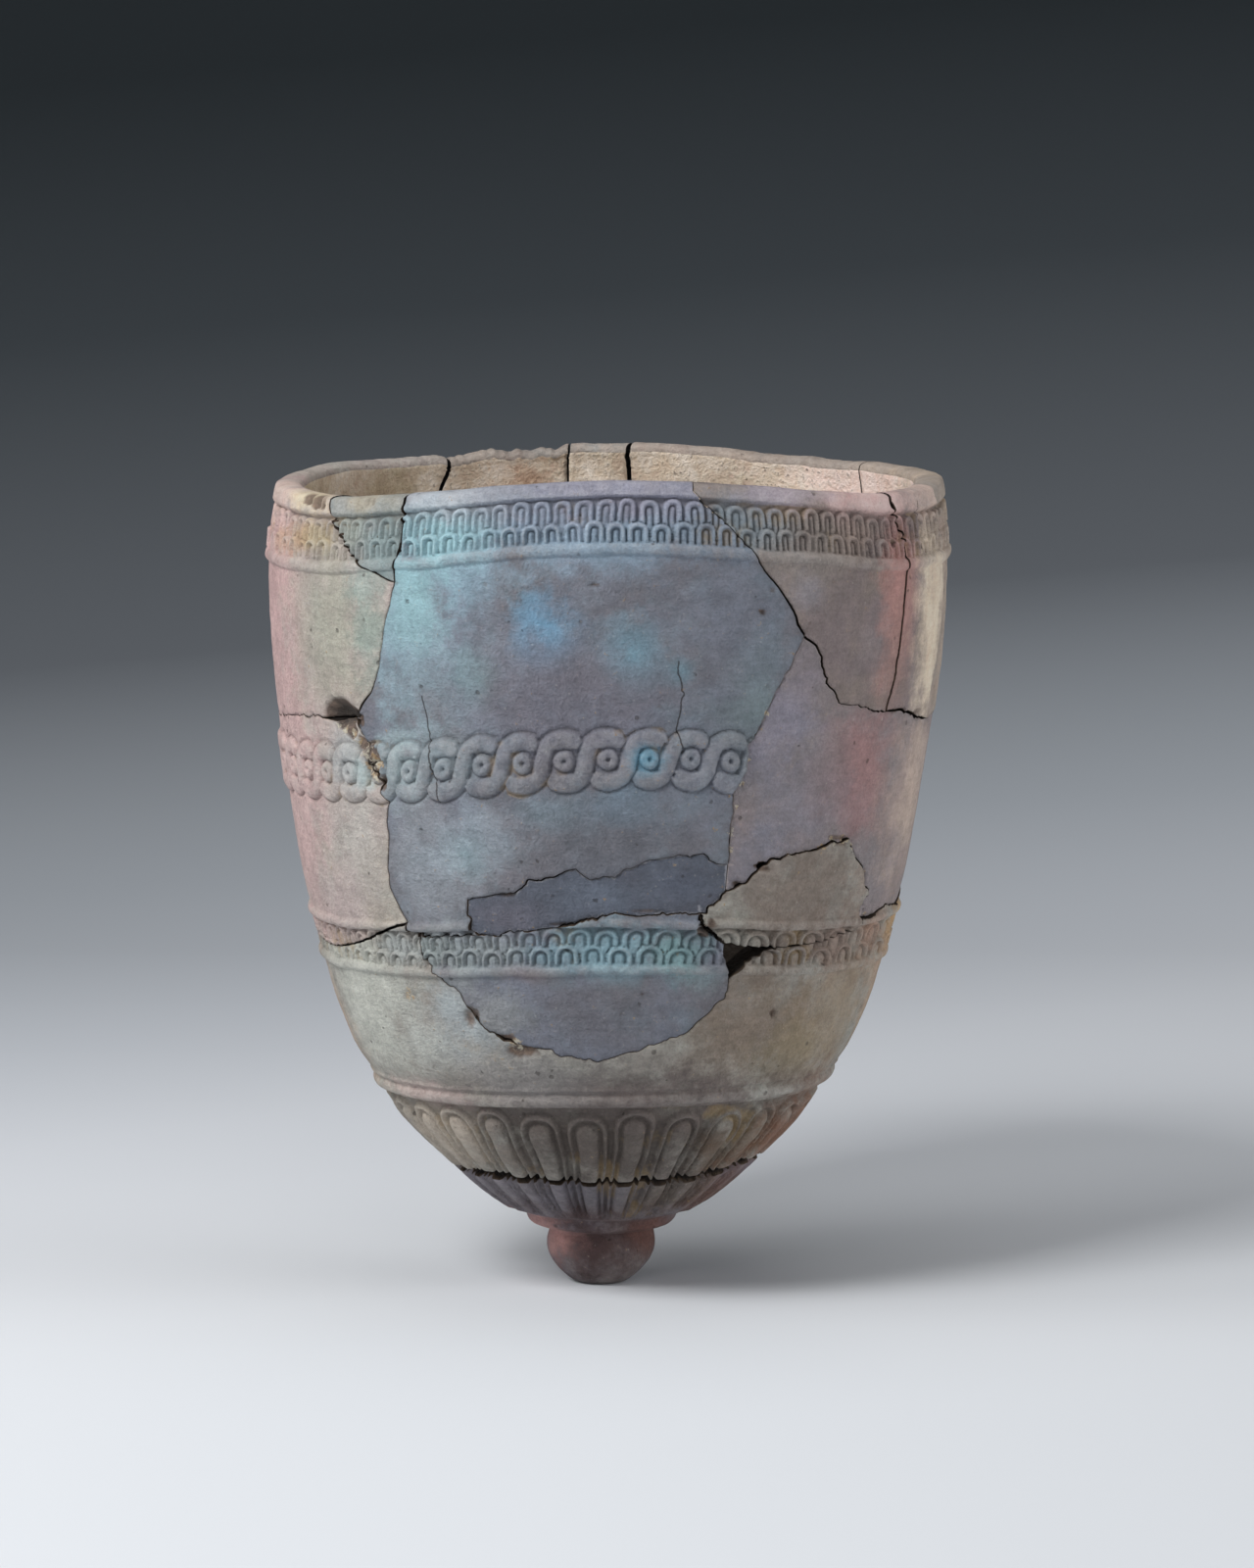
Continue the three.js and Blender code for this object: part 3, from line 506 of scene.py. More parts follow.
# %% Rows of points
# From one height to the next, the spacing of the points.
OUTER_ROWS = [
    (-30, 15, 0.5), (15, 27, 0.42), (27, 44, 0.4), (44, 51.5, 0.38), (51.5, 74.6, 0.72),
    (74.6, 88.2, 0.37), (88.2, 112.4, 0.72), (112.4, 126.8, 0.37), (126.8, 161.6, 0.72),
    (161.6, RIM_LINE, 0.35),
]
INNER_ROWS = [(-30, 28, 2.4), (28, 150, 3.0), (150, 168, 1.6), (168, RIM_LINE, 0.8)]
# Round the hollow and the missing chip the points are finer: an angle, a height and half the sides.
FINE_SPOTS = [(-51, 131.5, 10, 7), (29, 79, 5, 5)]
FINE_SPACING = 0.36
# Rows of even triangles lie this part of the spacing apart.
ROW_STEP = 0.87
# Points nearer to a break than this are left out.
OUTER_MARGIN, INNER_MARGIN = 0.26, 0.7


def rows_of_points(bands):
    angles, places, row = [], [], 0
    for low, high, spacing in bands:
        low = max(low, float(profile_place[0]))
        stretch = on_profile(1 / np.maximum(tangent[:, 1], 0.3), np.array([(low + high) / 2]))[0]
        if high <= WALL_STARTS:
            stretch = 1
        for place in np.arange(low + 0.3 * spacing, high, spacing * ROW_STEP / stretch):
            around = TAU * on_profile(profile_r, place)
            count = max(5, int(round(around / spacing)))
            angles.append((np.arange(count) + 0.5 * (row % 2)) * TAU / count)
            places.append(np.full(count, place))
            row += 1
    return np.concatenate(angles), np.concatenate(places)


def spots_of_points():
    """Finer points where the wall is chipped."""
    angles, places = [], []
    for angle, place, *halves in FINE_SPOTS:
        x, y = np.meshgrid(*(np.arange(-half, half, FINE_SPACING) for half in halves))
        inside = (x / halves[0]) ** 2 + (y / halves[1]) ** 2 < 1
        x += FINE_SPACING / 2 * (np.arange(len(x)) % 2)[:, None]
        angles.append(np.radians(angle) + x[inside] / on_profile(profile_r, place))
        places.append(place + y[inside])
    return np.concatenate(angles), np.concatenate(places)


def tree_of(points, numbers):
    """A search tree of points given on the map, which are measured on the wall."""
    tree = KDTree(len(points))
    for number, point in zip(numbers.tolist(), outer_point(*from_map(points)).tolist()):
        tree.insert(point, number)
    tree.balance()
    return tree


tree_of_breaks = tree_of(line_points, np.arange(len(line_points)))
break_only = tree_of(line_points[line_gaps >= 0], np.flatnonzero(line_gaps >= 0))
tree_of_hairs = tree_of(hair_points, np.arange(len(hair_points)))


def distances(tree, points):
    return np.array([tree.find(p)[2] for p in points.tolist()])


def clear_of_breaks(angles, places, margin):
    found = [tree_of_breaks.find(p)[1:] for p in outer_point(angles, places).tolist()]
    index, distance = np.array(found).T
    gap = np.maximum(line_gaps[index.astype(int)], 0)
    hair_distance = distances(tree_of_hairs, outer_point(angles, places))
    keep = (distance > margin + gap / 2) & (hair_distance > margin)
    return angles[keep], places[keep]


def filled_map(bands, margin, spots):
    angles, places = rows_of_points(bands)
    if spots:
        extra_angles, extra_places = spots_of_points()
        far = np.ones(len(angles), bool)
        for angle, place, half_width, half_height in FINE_SPOTS:
            across, up = away_from(angle, place, angles, places)
            far &= (across / half_width) ** 2 + (up / half_height) ** 2 > 1.06
        angles = np.concatenate([angles[far], extra_angles])
        places = np.concatenate([places[far], extra_places])
    angles, places = clear_of_breaks(angles, places, margin)
    hairs = hair_points if spots else hair_points[:0]
    points = np.vstack([line_points, hairs, to_map(angles, places)])
    points, triangles, source, kept = triangulate(points, line_edges)
    labels = flood(triangles, points, neighbours(triangles, kept), all_seeds)
    labels[labels >= len(NAMES)] = -1
    return points, triangles, source, labels


outer_map = filled_map(OUTER_ROWS, OUTER_MARGIN, True)
inner_map = filled_map(INNER_ROWS, INNER_MARGIN, False)
for face, (points, triangles, source, labels) in (("outer", outer_map), ("inner", inner_map)):
    print(face, "face:", len(triangles), "triangles,", len(np.unique(labels)) - 1, "sherds")

# %% [markdown]
# ## From regions to sherds
# A sherd is its outer face, its inner face, and the broken faces between them. Along each break the
# sherd draws back by half the gap. The broken faces are built of rows of points through the wall,
# pushed about a little, because frit breaks like coarse stone. The rows follow the carving less and
# less towards the inside, so a broken face never stands up out of a groove or a chip. Where a sherd
# reaches the rim, the same rows are bent into the rounded lip. Each point also carries what the
# carving needs to know.

# %% Chips and shifts
# Chips of each sherd: an angle, a height, half a width, half a height and a depth in millimetres.
CHIPS = {
    "upper_left_sherd": [(-51.6, 131.0, 7.6, 6.0, 3.6), (-48.4, 131.4, 3.6, 3.4, 3.2),
                         (-61.4, 178.6, 3.2, 1.1, 1.3), (-58.6, 178.0, 2.6, 1.4, 1.1),
                         (-56.4, 177.6, 1.5, 1.3, .8)],
    "middle_left_sherd": [(-49.6, 131.2, 3.8, 2.2, 2.6), (-51.2, 130.6, 1.8, 1.9, 2.2),
                          (-48.6, 128.8, 2.6, 1.8, 1.2), (-46.2, 126.2, 1.8, 1.8, 1.0),
                          (-44.2, 122.0, 1.5, 4.4, .8)],
    "front_sherd": [(-46, 131.2, 1.6, 1.4, 1.6), (-43.4, 121.4, 2.6, 5.6, 1.0),
                    (-41.6, 117.4, 1.6, 2.0, .8), (-2, 157, 1.5, .6, .6), (26, 152.5, 1.1, .8, .8),
                    (28, 157.2, .9, .6, .5), (-20, 158.6, .8, .6, .4), (-40, 160.4, 1.3, 1.2, .7),
                    (9, 131, .7, .6, .4), (-13, 104, .8, .5, .4), (23.3, 104, .7, 3.4, .5),
                    (24.2, 113, .8, 2.4, .6), (18, 166.8, .6, .5, .4)],
    "rim_wedge_sherd": [(-41.5, 162.4, 1.4, .9, .6), (-44, 180, 7.6, 1.9, .7)],
    "lower_front_sherd": [(-38.6, 85.0, 2.0, 1.6, 1.2), (-22, 61.6, 3.4, 1.3, .9),
                          (-27.6, 66.8, 1.8, 2.2, .7), (8, 71, .8, .6, .5), (19.4, 84.6, 1.8, 1.6, 1.2),
                          (4, 67, .7, .5, .4)],
    "lower_bowl_sherd": [(-17.5, 59.0, 4.2, 1.6, 1.0), (-43.5, 70.6, 2.6, .7, .4),
                         (38, 66.5, 1.1, 1.1, .8), (30, 59, .8, .6, .5), (-28.6, 66.0, 1.6, 2.6, .7)],
    "upper_right_sherd": [(55, 169, 1.6, 1.2, .9), (56, 177.5, 1.6, 1.2, .7), (40, 160, .8, .6, .4)],
    "rim_right_sherd": [(60, 132.0, 4.6, 1.1, .7), (68, 131.6, 3.0, .9, .6)],
    "triangular_sherd": [(20.5, 86.0, 1.4, 1.2, .9), (30, 97.8, 2.2, .7, .9), (48, 103.6, 2.8, .7, .6)],
    "right_fill": [(30.2, 98.4, 2.8, .9, 1.5), (25, 94.4, 1.2, .9, .8), (47, 104.7, 3.4, .7, .8),
                   (57.4, 96, .8, 2.4, .8)],
    "front_fill": [(-18, 92.4, 2.6, .6, .6), (8, 88.2, 4.0, .6, .5), (-8, 85.7, 3.0, .5, .5)],
}
# Where the chipped frit is clean and pale: an angle, a height and a radius in millimetres.
PALE_SPOTS = [
    (-52.4, 129.9, .9), (-50.6, 129.0, 1.1), (-48.6, 128.2, 1.3), (-47.2, 126.6, 1.2),
    (-44.6, 124.2, 2.0), (-43.6, 121.2, 2.8), (-43.2, 118.2, 1.6), (-18.6, 60.0, 2.0), (-43.5, 70.6, 1.8),
    (43, 102.9, 1.0), (46, 104.0, 1.2), (49, 104.4, 1.1), (51, 103.2, .9), (57.4, 96.4, .9),
    (36, 101.2, .9), (60.5, 87.4, .9), (64, 87.0, .7), (71, 88.2, .8), (23.4, 101.6, .9),
    (23.3, 105.2, 1.1), (24.0, 110.4, .8), (24.6, 115.0, 1.0), (25.4, 120.4, .9), (28.2, 130.6, .9),
]
# The glued sherds sit a little off, in millimetres: to the right, to the back and up.
SHIFTS = {
    "base_sherd": (0.1, 0, 0), "rim_wedge_sherd": (0.05, 0.3, -0.22), "upper_right_sherd": (0, 0.2, 0),
    "rim_right_sherd": (0.3, 0, 0.15), "upper_left_sherd": (0.1, 0.15, 0),
    "triangular_sherd": (0.1, -0.2, 0), "back_chipped_rim_sherd": (0, 0.35, -0.3),
    "back_narrow_rim_sherd": (0, -0.3, -0.2),
}
WAVES_IN_LUMPS = 10
# The rim has flaked at the back: angles in degrees, and how far it has come down there.
FLAKED_ANGLES = (0, 120, 128, 146, 150, 155, 180, 187.5, 190, 211, 214, 230, 360)
FLAKED = (0, 0, .2, .3, .5, .1, .1, .2, 1.0, .9, .3, .1, 0)


def lumps(points, length, seed):
    """A smooth seeded unevenness between -1 and 1 at points in millimetres."""
    rng = np.random.default_rng(seed)
    total = np.zeros(len(points))
    for _ in range(WAVES_IN_LUMPS):
        way = rng.normal(size=3)
        way *= TAU / (length * rng.uniform(0.7, 1.4) * np.linalg.norm(way))
        total += np.sin(points @ way + rng.uniform(0, TAU))
    return np.clip(total / 4.5, -1, 1)


def rim_loss(angles, places):
    """How far the flaked stretch of the rim at the back has come down."""
    worn = np.interp(np.degrees(angles) % 360, FLAKED_ANGLES, FLAKED)
    points = outer_point(angles, places)
    ragged = 0.9 + 0.6 * lumps(points, 7.0, 61) + 0.3 * lumps(points, 2.6, 62)
    return worn * ragged * np.clip((places - 171) / 7, 0, 1) ** 2


def chip_depth(name, angles, places, points):
    """How deep the wall is chipped. A deep hollow is smooth, and a small chip is ragged."""
    depth = np.zeros(len(angles))
    for i, (angle, place, half_width, half_height, deep) in enumerate(CHIPS.get(name, [])):
        across, up = away_from(angle, place, angles, places)
        ragged = 0.05 * lumps(points, 3.4, 40 + i)
        power = 1.8
        if deep < 2:
            ragged = 0.2 * lumps(points, 2.8, 40 + i) + 0.16 * lumps(points, 1.1, 60 + i)
            power = 0.5 + 0.15 * deep
        share = np.hypot(across / half_width, up / half_height) + ragged
        depth = np.maximum(depth, deep * np.clip(1 - share**2, 0, 1) ** power)
    return depth


def paleness(angles, places, points):
    """1 where the chipped frit is pale, fading to 0 in a ragged border."""
    pale = np.zeros(len(angles))
    for angle, place, radius in PALE_SPOTS:
        away = np.hypot(*away_from(angle, place, angles, places))
        pale = np.maximum(pale, np.clip(1.3 - away / radius, 0, 0.85))
    return pale * (0.85 + 0.3 * lumps(points, 1.8, 63))


def outline(triangles, count):
    """The directed border edges of a patch of triangles: the patch lies on their left."""
    a, b = triangles.ravel(), np.roll(triangles, -1, axis=1).ravel()
    border = ~np.isin(a * np.int64(count) + b, b * np.int64(count) + a)
    return a[border], b[border]


def patch(face_map, label):
    """The points and triangles of one sherd on a map, and the line point that each point comes from."""
    points, triangles, source, labels = face_map
    used, local = np.unique(triangles[labels == label], return_inverse=True)
    return points[used], local.reshape(-1, 3), source[used]


def inward(points, a, b, count):
    """At each border point, the way into the patch on the map, from the breaks that meet there."""
    rho = np.hypot(*points.T)
    on_rim = np.abs(rho - on_profile(profile_rho, RIM_LINE)) < 0.02
    crack = ~(on_rim[a] & on_rim[b])
    along = points[b[crack]] - points[a[crack]]
    along /= np.maximum(np.linalg.norm(along, axis=1), 1e-9)[:, None]
    side = np.stack([-along[:, 1], along[:, 0]], 1)
    way = np.zeros((count, 2))
    np.add.at(way, a[crack], side)
    np.add.at(way, b[crack], side)
    length = np.linalg.norm(way, axis=1)
    return way / np.maximum(length, 0.7)[:, None], on_rim


# %% Sherd meshes
# Rows through the wall, the rise of the lip, and how far along the rim a crack pushes its points.
ROWS, LIP_RISE, RIM_PUSH = 8, 1.9, 3
# A distance that stands for being far from every break.
FAR = 20.0


def drawn_back(points, border, way, gap, on_rim):
    """The places of a sherd's points when its border has drawn back from each break by half the gap."""
    before, place = from_map(points)
    moved = points + way * (gap / 2 * map_scale(place))[:, None]
    angle = before.copy()
    angle[border], place[border] = from_map(moved[border])
    place[on_rim] = RIM_LINE
    # A crack that gapes pushes the points of the rim beside it along too, less and less.
    still = on_rim & (np.abs(way).sum(1) == 0)
    for corner in np.flatnonzero(on_rim & ~still):
        away = np.abs(turn_from(before[corner], before)) * profile_r[-1]
        angle += np.clip(1 - away / RIM_PUSH, 0, 1) * still * turn_from(before[corner], angle[corner])
    return angle, place


def rows_through(start, end, pull, gap, lip):
    """Rows of points through the wall, and how much of the carving each point follows."""
    rows, skins = [], []
    for k in range(1, ROWS):
        t = k / ROWS
        straight = start + (end - start) * t
        deep = (0.5 + 0.5 * lumps(straight, 2.6, 21)) * (0.1 + 0.35 * gap)
        turned = start + (end - start) * (1 - math.cos(math.pi * t)) / 2
        turned[:, 2] += (LIP_RISE + 0.12 * lumps(turned, 14, 5)) * math.sin(math.pi * t) ** 0.6
        rows.append(np.where(lip[:, None], turned, straight + pull * deep[:, None]))
        skins.append(np.where(lip, math.cos(math.pi / 2 * t) ** 2, 1 - t))
    return rows, skins


def sherd_arrays(name):
    """A sherd's points, its faces, what kind each face is, and the values of its points."""
    label = NAMES.index(name)
    points, triangles, source = patch(outer_map, label)
    in_points, in_triangles, in_source = patch(inner_map, label)
    a, b = outline(triangles, len(points))
    border = np.unique(np.concatenate([a, b]))
    way, on_rim = inward(points, a, b, len(points))
    gap = np.where(source < len(line_gaps), line_gaps[np.clip(source, 0, len(line_gaps) - 1)], 0)
    angle, place = drawn_back(points, border, way, gap, on_rim)
    around, up, out = directions(angle, place)
    outer = outer_point(angle, place)
    outer[:, 2] -= rim_loss(angle, place)

    # The inner face shares the border of the outer one.
    in_angle, in_place = from_map(in_points)
    inner_of = np.full(len(line_gaps) + 1, -1)
    known = (in_source >= 0) & (in_source < len(line_gaps))
    inner_of[in_source[known]] = np.flatnonzero(known)
    match = inner_of[np.clip(source[border], 0, len(line_gaps) - 1)]
    in_angle[match], in_place[match] = angle[border], place[border]
    inner = inner_point(in_angle, in_place)
    inner[:, 2] -= rim_loss(in_angle, in_place)
    inner += 0.25 * lumps(inner, 14, 7)[:, None] * np.array([1, 1, 0.3])

    # Rows through the wall from the outer border to the inner one, pulled back into the sherd.
    bend = way[border]
    sin, cos = np.sin(angle[border]), np.cos(angle[border])
    pull = (around[border] * (bend[:, 0] * cos - bend[:, 1] * sin)[:, None]
            + up[border] * (bend[:, 0] * sin + bend[:, 1] * cos)[:, None])
    lip = on_rim[border]
    rows, row_skin = rows_through(outer[border], inner[match], pull, gap[border], lip)
    count, n_outer, n_inner = len(border), len(outer), len(inner)
    between = n_outer + n_inner + np.arange(count * (ROWS - 1)).reshape(ROWS - 1, count)
    column = np.stack([border, *between, n_outer + match], 1)
    rank = np.full(n_outer, -1)
    rank[border] = np.arange(count)
    ca, cb = column[rank[a]], column[rank[b]]
    quads = np.stack([ca[:, :-1], ca[:, 1:], cb[:, 1:], cb[:, :-1]], 2).reshape(-1, 4)
    lip_quad = np.repeat(on_rim[a] & on_rim[b], ROWS)

    vertices = np.vstack([outer, inner, *rows]) + np.array(SHIFTS.get(name, (0, 0, 0)))
    # Where a crack stays closed its edges are crisp, so they count as further from the break.
    nearest, edge = np.array([break_only.find(p)[1:] for p in outer.tolist()]).T
    edge = edge + np.clip(0.6 - 4 * line_gaps[nearest.astype(int)], 0, 0.5)
    hair = distances(tree_of_hairs, outer)
    pale = paleness(angle, place, outer)
    loss = np.maximum(chip_depth(name, angle, place, outer), 0.3 * pale)
    loss = np.maximum(loss, 0.25 * np.clip(1 - hair / 0.3, 0, 1))
    # A chip of the lip stays on its front.
    row_loss = [loss[border] * np.where(lip, np.clip(1.2 - 2.2 * k / ROWS, 0, 1), 1)
                for k in range(1, ROWS)]
    above_foot = np.clip(on_profile(profile_z, place) / 1.5, 0, 1)
    inner_zeros, inner_far = np.zeros(n_inner), np.full(n_inner, FAR)
    row_far, row_within = np.full((ROWS - 1, count), FAR), np.repeat(np.arange(1, ROWS) / ROWS, count)
    # Each value of the outer face, of the inner face and of the rows, which may repeat the border's.
    values = {}
    for key, outer_value, inner_value, row_value in (
            ("angle", angle, in_angle, None), ("height", place, in_place, None),
            ("edge", edge, inner_far, None), ("pale", pale, inner_zeros, None),
            ("skin", above_foot, inner_zeros, row_skin), ("loss", loss, inner_zeros, row_loss),
            ("hair", hair, inner_far, row_far),
            ("within", np.zeros(n_outer), np.ones(n_inner), row_within)):
        if row_value is None:
            row_value = np.tile(outer_value[border], ROWS - 1)
        values[key] = np.concatenate([outer_value, inner_value, np.ravel(row_value)])
    values["outward"] = np.vstack([out, np.zeros((n_inner, 3)), np.tile(out[border], (ROWS - 1, 1))])
    faces = (triangles, quads, in_triangles[:, ::-1] + n_outer)
    kinds = np.concatenate([
        np.zeros(len(triangles)), np.where(lip_quad, 0, 1), np.full(len(in_triangles), 2)])
    return vertices, faces, kinds, values


def new_mesh(name, vertices, faces, kinds, values):
    """An object in metres, with its values stored as attributes. Broken faces are shaded flat."""
    mesh = bpy.data.meshes.new(name)
    corners = np.concatenate([f.ravel() for f in faces])
    sizes = np.concatenate([np.full(len(f), f.shape[1]) for f in faces])
    mesh.vertices.add(len(vertices))
    mesh.vertices.foreach_set("co", (vertices * MM).ravel())
    mesh.loops.add(len(corners))
    mesh.loops.foreach_set("vertex_index", corners)
    mesh.polygons.add(len(sizes))
    mesh.polygons.foreach_set("loop_start", np.concatenate([[0], np.cumsum(sizes)[:-1]]))
    mesh.polygons.foreach_set("loop_total", sizes)
    mesh.polygons.foreach_set("use_smooth", kinds != 1)
    for key, value in values.items():
        vector = value.ndim == 2
        attribute = mesh.attributes.new(key, "FLOAT_VECTOR" if vector else "FLOAT", "POINT")
        attribute.data.foreach_set("vector" if vector else "value", value.ravel().astype(np.float32))
    attribute = mesh.attributes.new("kind", "FLOAT", "FACE")
    attribute.data.foreach_set("value", kinds.astype(np.float32))
    mesh.update()
    mesh.validate()
    piece = bpy.data.objects.new(name, mesh)
    bpy.context.scene.collection.objects.link(piece)
    return piece


blanks = {}
for name in NAMES:
    blanks[name] = new_mesh(name + "_worn", *sherd_arrays(name))
    print(name, len(blanks[name].data.polygons), "faces")

# %% [markdown]
# ## One way to add a node
# Every node in this lesson, in the carving and in the finishes, is added by one small function. It
# takes a tree, the node's type, with an operation after a dot where it has one, then what goes into
# its inputs in their order or by name, and then its settings. Sums may be given by their sign.

# %% Nodes
SIGNS = {"+": "Math.ADD", "-": "Math.SUBTRACT", "*": "Math.MULTIPLY", "/": "Math.DIVIDE"}
EASED = {"interpolation_type": "SMOOTHSTEP"}
IN_COLOUR = {"data_type": "RGBA"}


def add(tree, kind, *values, curve=None, ramp=None, **settings):
    kind, _, operation = SIGNS.get(kind, kind).partition(".")
    prefix = next(p for p in ("ShaderNode", "GeometryNode", "Node") if hasattr(bpy.types, p + kind))
    node = tree.nodes.new(prefix + kind)
    if operation:
        node.operation = operation
    for key, value in settings.items():
        setattr(node, key, value)
    sockets = [socket for socket in node.inputs if socket.enabled]
    pairs = list(zip(sockets, [value for value in values if not isinstance(value, dict)]))
    for named in (value for value in values if isinstance(value, dict)):
        pairs += [(node.inputs[key], value) for key, value in named.items()]
    for socket, value in pairs:
        if isinstance(value, bpy.types.Node):
            value = next(output for output in value.outputs if output.enabled)
        if isinstance(value, bpy.types.NodeSocket):
            tree.links.new(value, socket)
        elif value is not None:
            socket.default_value = value
    if curve:
        line = node.mapping.curves[0]
        while len(line.points) < len(curve):
            line.points.new(0.5, 0.5)
        for point, place in zip(line.points, curve):
            point.location = place
        node.mapping.update()
    if ramp:
        while len(node.color_ramp.elements) < len(ramp):
            node.color_ramp.elements.new(0.5)
        for element, (position, colour) in zip(node.color_ramp.elements, ramp):
            element.position, element.color = position, colour
    return node


# %% [markdown]
# ## The carving
# Scales, guilloche, tongues and ridges all repeat round the wall, so Geometry Nodes carve them. The
# tree works out at every point how high the carved surface stands over the plain wall, moves the
# point that far outwards, and keeps two values for the finish: how deep the point lies in a groove,
# and how high it stands. Every hand-cut unit differs a little: its place by a slow noise, and its
# size by a seeded value of its own.

# %% Carving tree
carving = bpy.data.node_groups.new("carving", "GeometryNodeTree")
carving.interface.new_socket("Geometry", in_out="INPUT", socket_type="NodeSocketGeometry")
CARVING_SIZES = {
    "Upper scales": 101.0, "Lower scales": 67.0, "Guilloche eyes": 50.0, "Tongues": 27.0,
    "Carving depth": 1.0, "Unevenness": 1.0, "Sunk": 0.0, "Seed": 4.0,
}
for label, value in CARVING_SIZES.items():
    socket = carving.interface.new_socket(label, in_out="INPUT", socket_type="NodeSocketFloat")
    socket.default_value = value
socket = carving.interface.new_socket("Material", in_out="INPUT", socket_type="NodeSocketMaterial")
carving.interface.new_socket("Geometry", in_out="OUTPUT", socket_type="NodeSocketGeometry")

carve = partial(add, carving)
entry = carve("GroupInput")
size = {label: entry.outputs[label] for label in CARVING_SIZES}
angle_at, height_at, skin_at, edge_at, loss_at = (
    carve("InputNamedAttribute", key, data_type="FLOAT")
    for key in ("angle", "height", "skin", "edge", "loss"))
outward_at = carve("InputNamedAttribute", "outward", data_type="FLOAT_VECTOR")
where = carve("InputPosition")

# Three noises, of lumps of 16, 34 and 3 millimetres, each centred on nought.
unsteady = {}
for key, length, detail in (("hand", 16, 2.0), ("slow", 34, 1.0), ("fine", 3.2, 3.0)):
    cloud = carve("TexNoise", {"Vector": where, "Scale": 1 / (length * MM), "Detail": detail})
    centred = carve("VectorMath.SUBTRACT", cloud.outputs["Color"], (0.5, 0.5, 0.5))
    unsteady[key] = carve("SeparateXYZ", centred).outputs
# How full a ridge and a strand are: half a circle has a power of 0.5.
BEAD_POWER, STRAND_POWER = 0.52, 0.42
drift = carve("*", unsteady["hand"][0], 2.6)
height_cut = carve("+", height_at, carve("*", unsteady["hand"][1], 1.5))


def cells(count, pitch, first=0.0, half=0.0, around=angle_at):
    """Units round the wall: each point's distance from its unit's middle, and the unit's number."""
    turns = carve("*", around, carve("/", count, TAU))
    placed = carve("+", carve("+", turns, carve("/", drift, pitch)), half - first)
    number = carve("Math.FLOOR", placed)
    across = carve("-", carve("-", placed, number), 0.5)
    return carve("*", across, pitch), number


def chance(number, shift):
    """A seeded value from -0.5 to 0.5 for each unit."""
    key = carve("+", number, carve("*", size["Seed"], 7.3 + shift))
    value = carve("TexWhiteNoise", {"W": key}, noise_dimensions="1D")
    return carve("-", value.outputs["Value"], 0.5)


def band(low, high, soft=0.2):
    """1 between two heights, with soft ends."""
    begun = carve("MapRange", height_cut, low - soft, low + soft, **EASED)
    ended = carve("MapRange", height_cut, high - soft, high + soft, **EASED)
    return carve("-", begun, ended)


def dome(share, power):
    """A rounded top: 1 in the middle, and 0 from a share of 1 on."""
    left = carve("Math.MAXIMUM", carve("-", 1.0, carve("*", share, share)), 0.0)
    return carve("Math.POWER", left, power)


def bead(height, centre, half, projection):
    """A half-round ridge."""
    share = carve("/", carve("-", height, centre), half)
    return carve("*", dome(share, BEAD_POWER), projection)


def round_distance(x, y, power=2.0):
    """The distance from a middle. A higher power squares the shoulders of what is drawn by it."""
    x = carve("Math.POWER", carve("Math.ABSOLUTE", x), power)
    y = carve("Math.POWER", carve("Math.ABSOLUTE", y), power)
    return carve("Math.POWER", carve("+", x, y), 1 / power)


def arch(across, height, top, rise, power, section):
    """The form of a unit with an arched top, and the share of the way in from its outline."""
    above = carve("/", carve("-", height, carve("-", top, rise)), rise)
    away = round_distance(across, carve("Math.MAXIMUM", above, 0.0), power)
    share = carve("Math.MAXIMUM", carve("-", 1.0, away), 0.0)
    return carve("FloatCurve", 1.0, share, curve=section), share


# %% [markdown]
# A scale is an arch with a broad raised border, a groove inside it and a small tongue in the middle.
# Its section runs from the outside, at 0, to the middle of the unit, at 1. The carver began the lower
# band with narrow scales on the left of the front and let them grow wider to the right.

# %% Scales
UPPER_SECTION = [(0, 0), (.06, .42), (.15, .86), (.28, 1), (.42, .97), (.5, .76), (.57, .34), (.63, .1),
                 (.71, .2), (.8, .56), (1, .64)]
LOWER_SECTION = [(0, 0), (.06, .45), (.13, .84), (.23, 1), (.33, .9), (.41, .55), (.48, .16), (.55, .08),
                 (.64, .45), (.75, .72), (1, .66)]
widening = carve("+", angle_at, carve("*", carve("Math.COSINE", angle_at), 0.36))


def scale_row(count, pitch, top, rise, power, section, shift, half, around):
    """One row of arches. Gives their form, and whether a point lies inside one."""
    across, number = cells(count, pitch, 0.0, half, around)
    half_width = carve("+", pitch / 2 - 0.12, carve("*", chance(number, shift + 1), 0.3))
    top_here = carve("+", top, carve("*", chance(number, shift), 0.8))
    form, share = arch(carve("/", across, half_width), height_cut, top_here, rise, power, section)
    worn = carve("MapRange", chance(number, shift + 2), -0.5, 0.5, 0.72, 1.08)
    return carve("*", form, worn), carve("Math.GREATER_THAN", share, 0.0)


def scale_band(count, pitch, tops, rise, power, section, low, high, seed, around=angle_at):
    """Two rows of scales, the lower in front. Gives the form, from 0 in the grooves to 1."""
    front, in_front = scale_row(count, pitch, tops[0], rise, power, section, seed, 0.0, around)
    back, in_back = scale_row(count, pitch, tops[1], rise, power, section, seed + 3, 0.5, around)
    behind = carve("*", carve("*", back, in_back), 0.82)
    return carve("Mix", in_front, behind, front), band(low, high)


upper_form, upper_inside = scale_band(
    size["Upper scales"], pitch=4.7, tops=(170.5, 175.2), rise=2.2, power=2.3, section=UPPER_SECTION,
    low=166.1, high=175.5, seed=0)
lower_form, lower_inside = scale_band(
    size["Lower scales"], pitch=5.9, tops=(81.3, 85.0), rise=2.6, power=2.1, section=LOWER_SECTION,
    low=77.4, high=84.9, seed=10, around=widening)

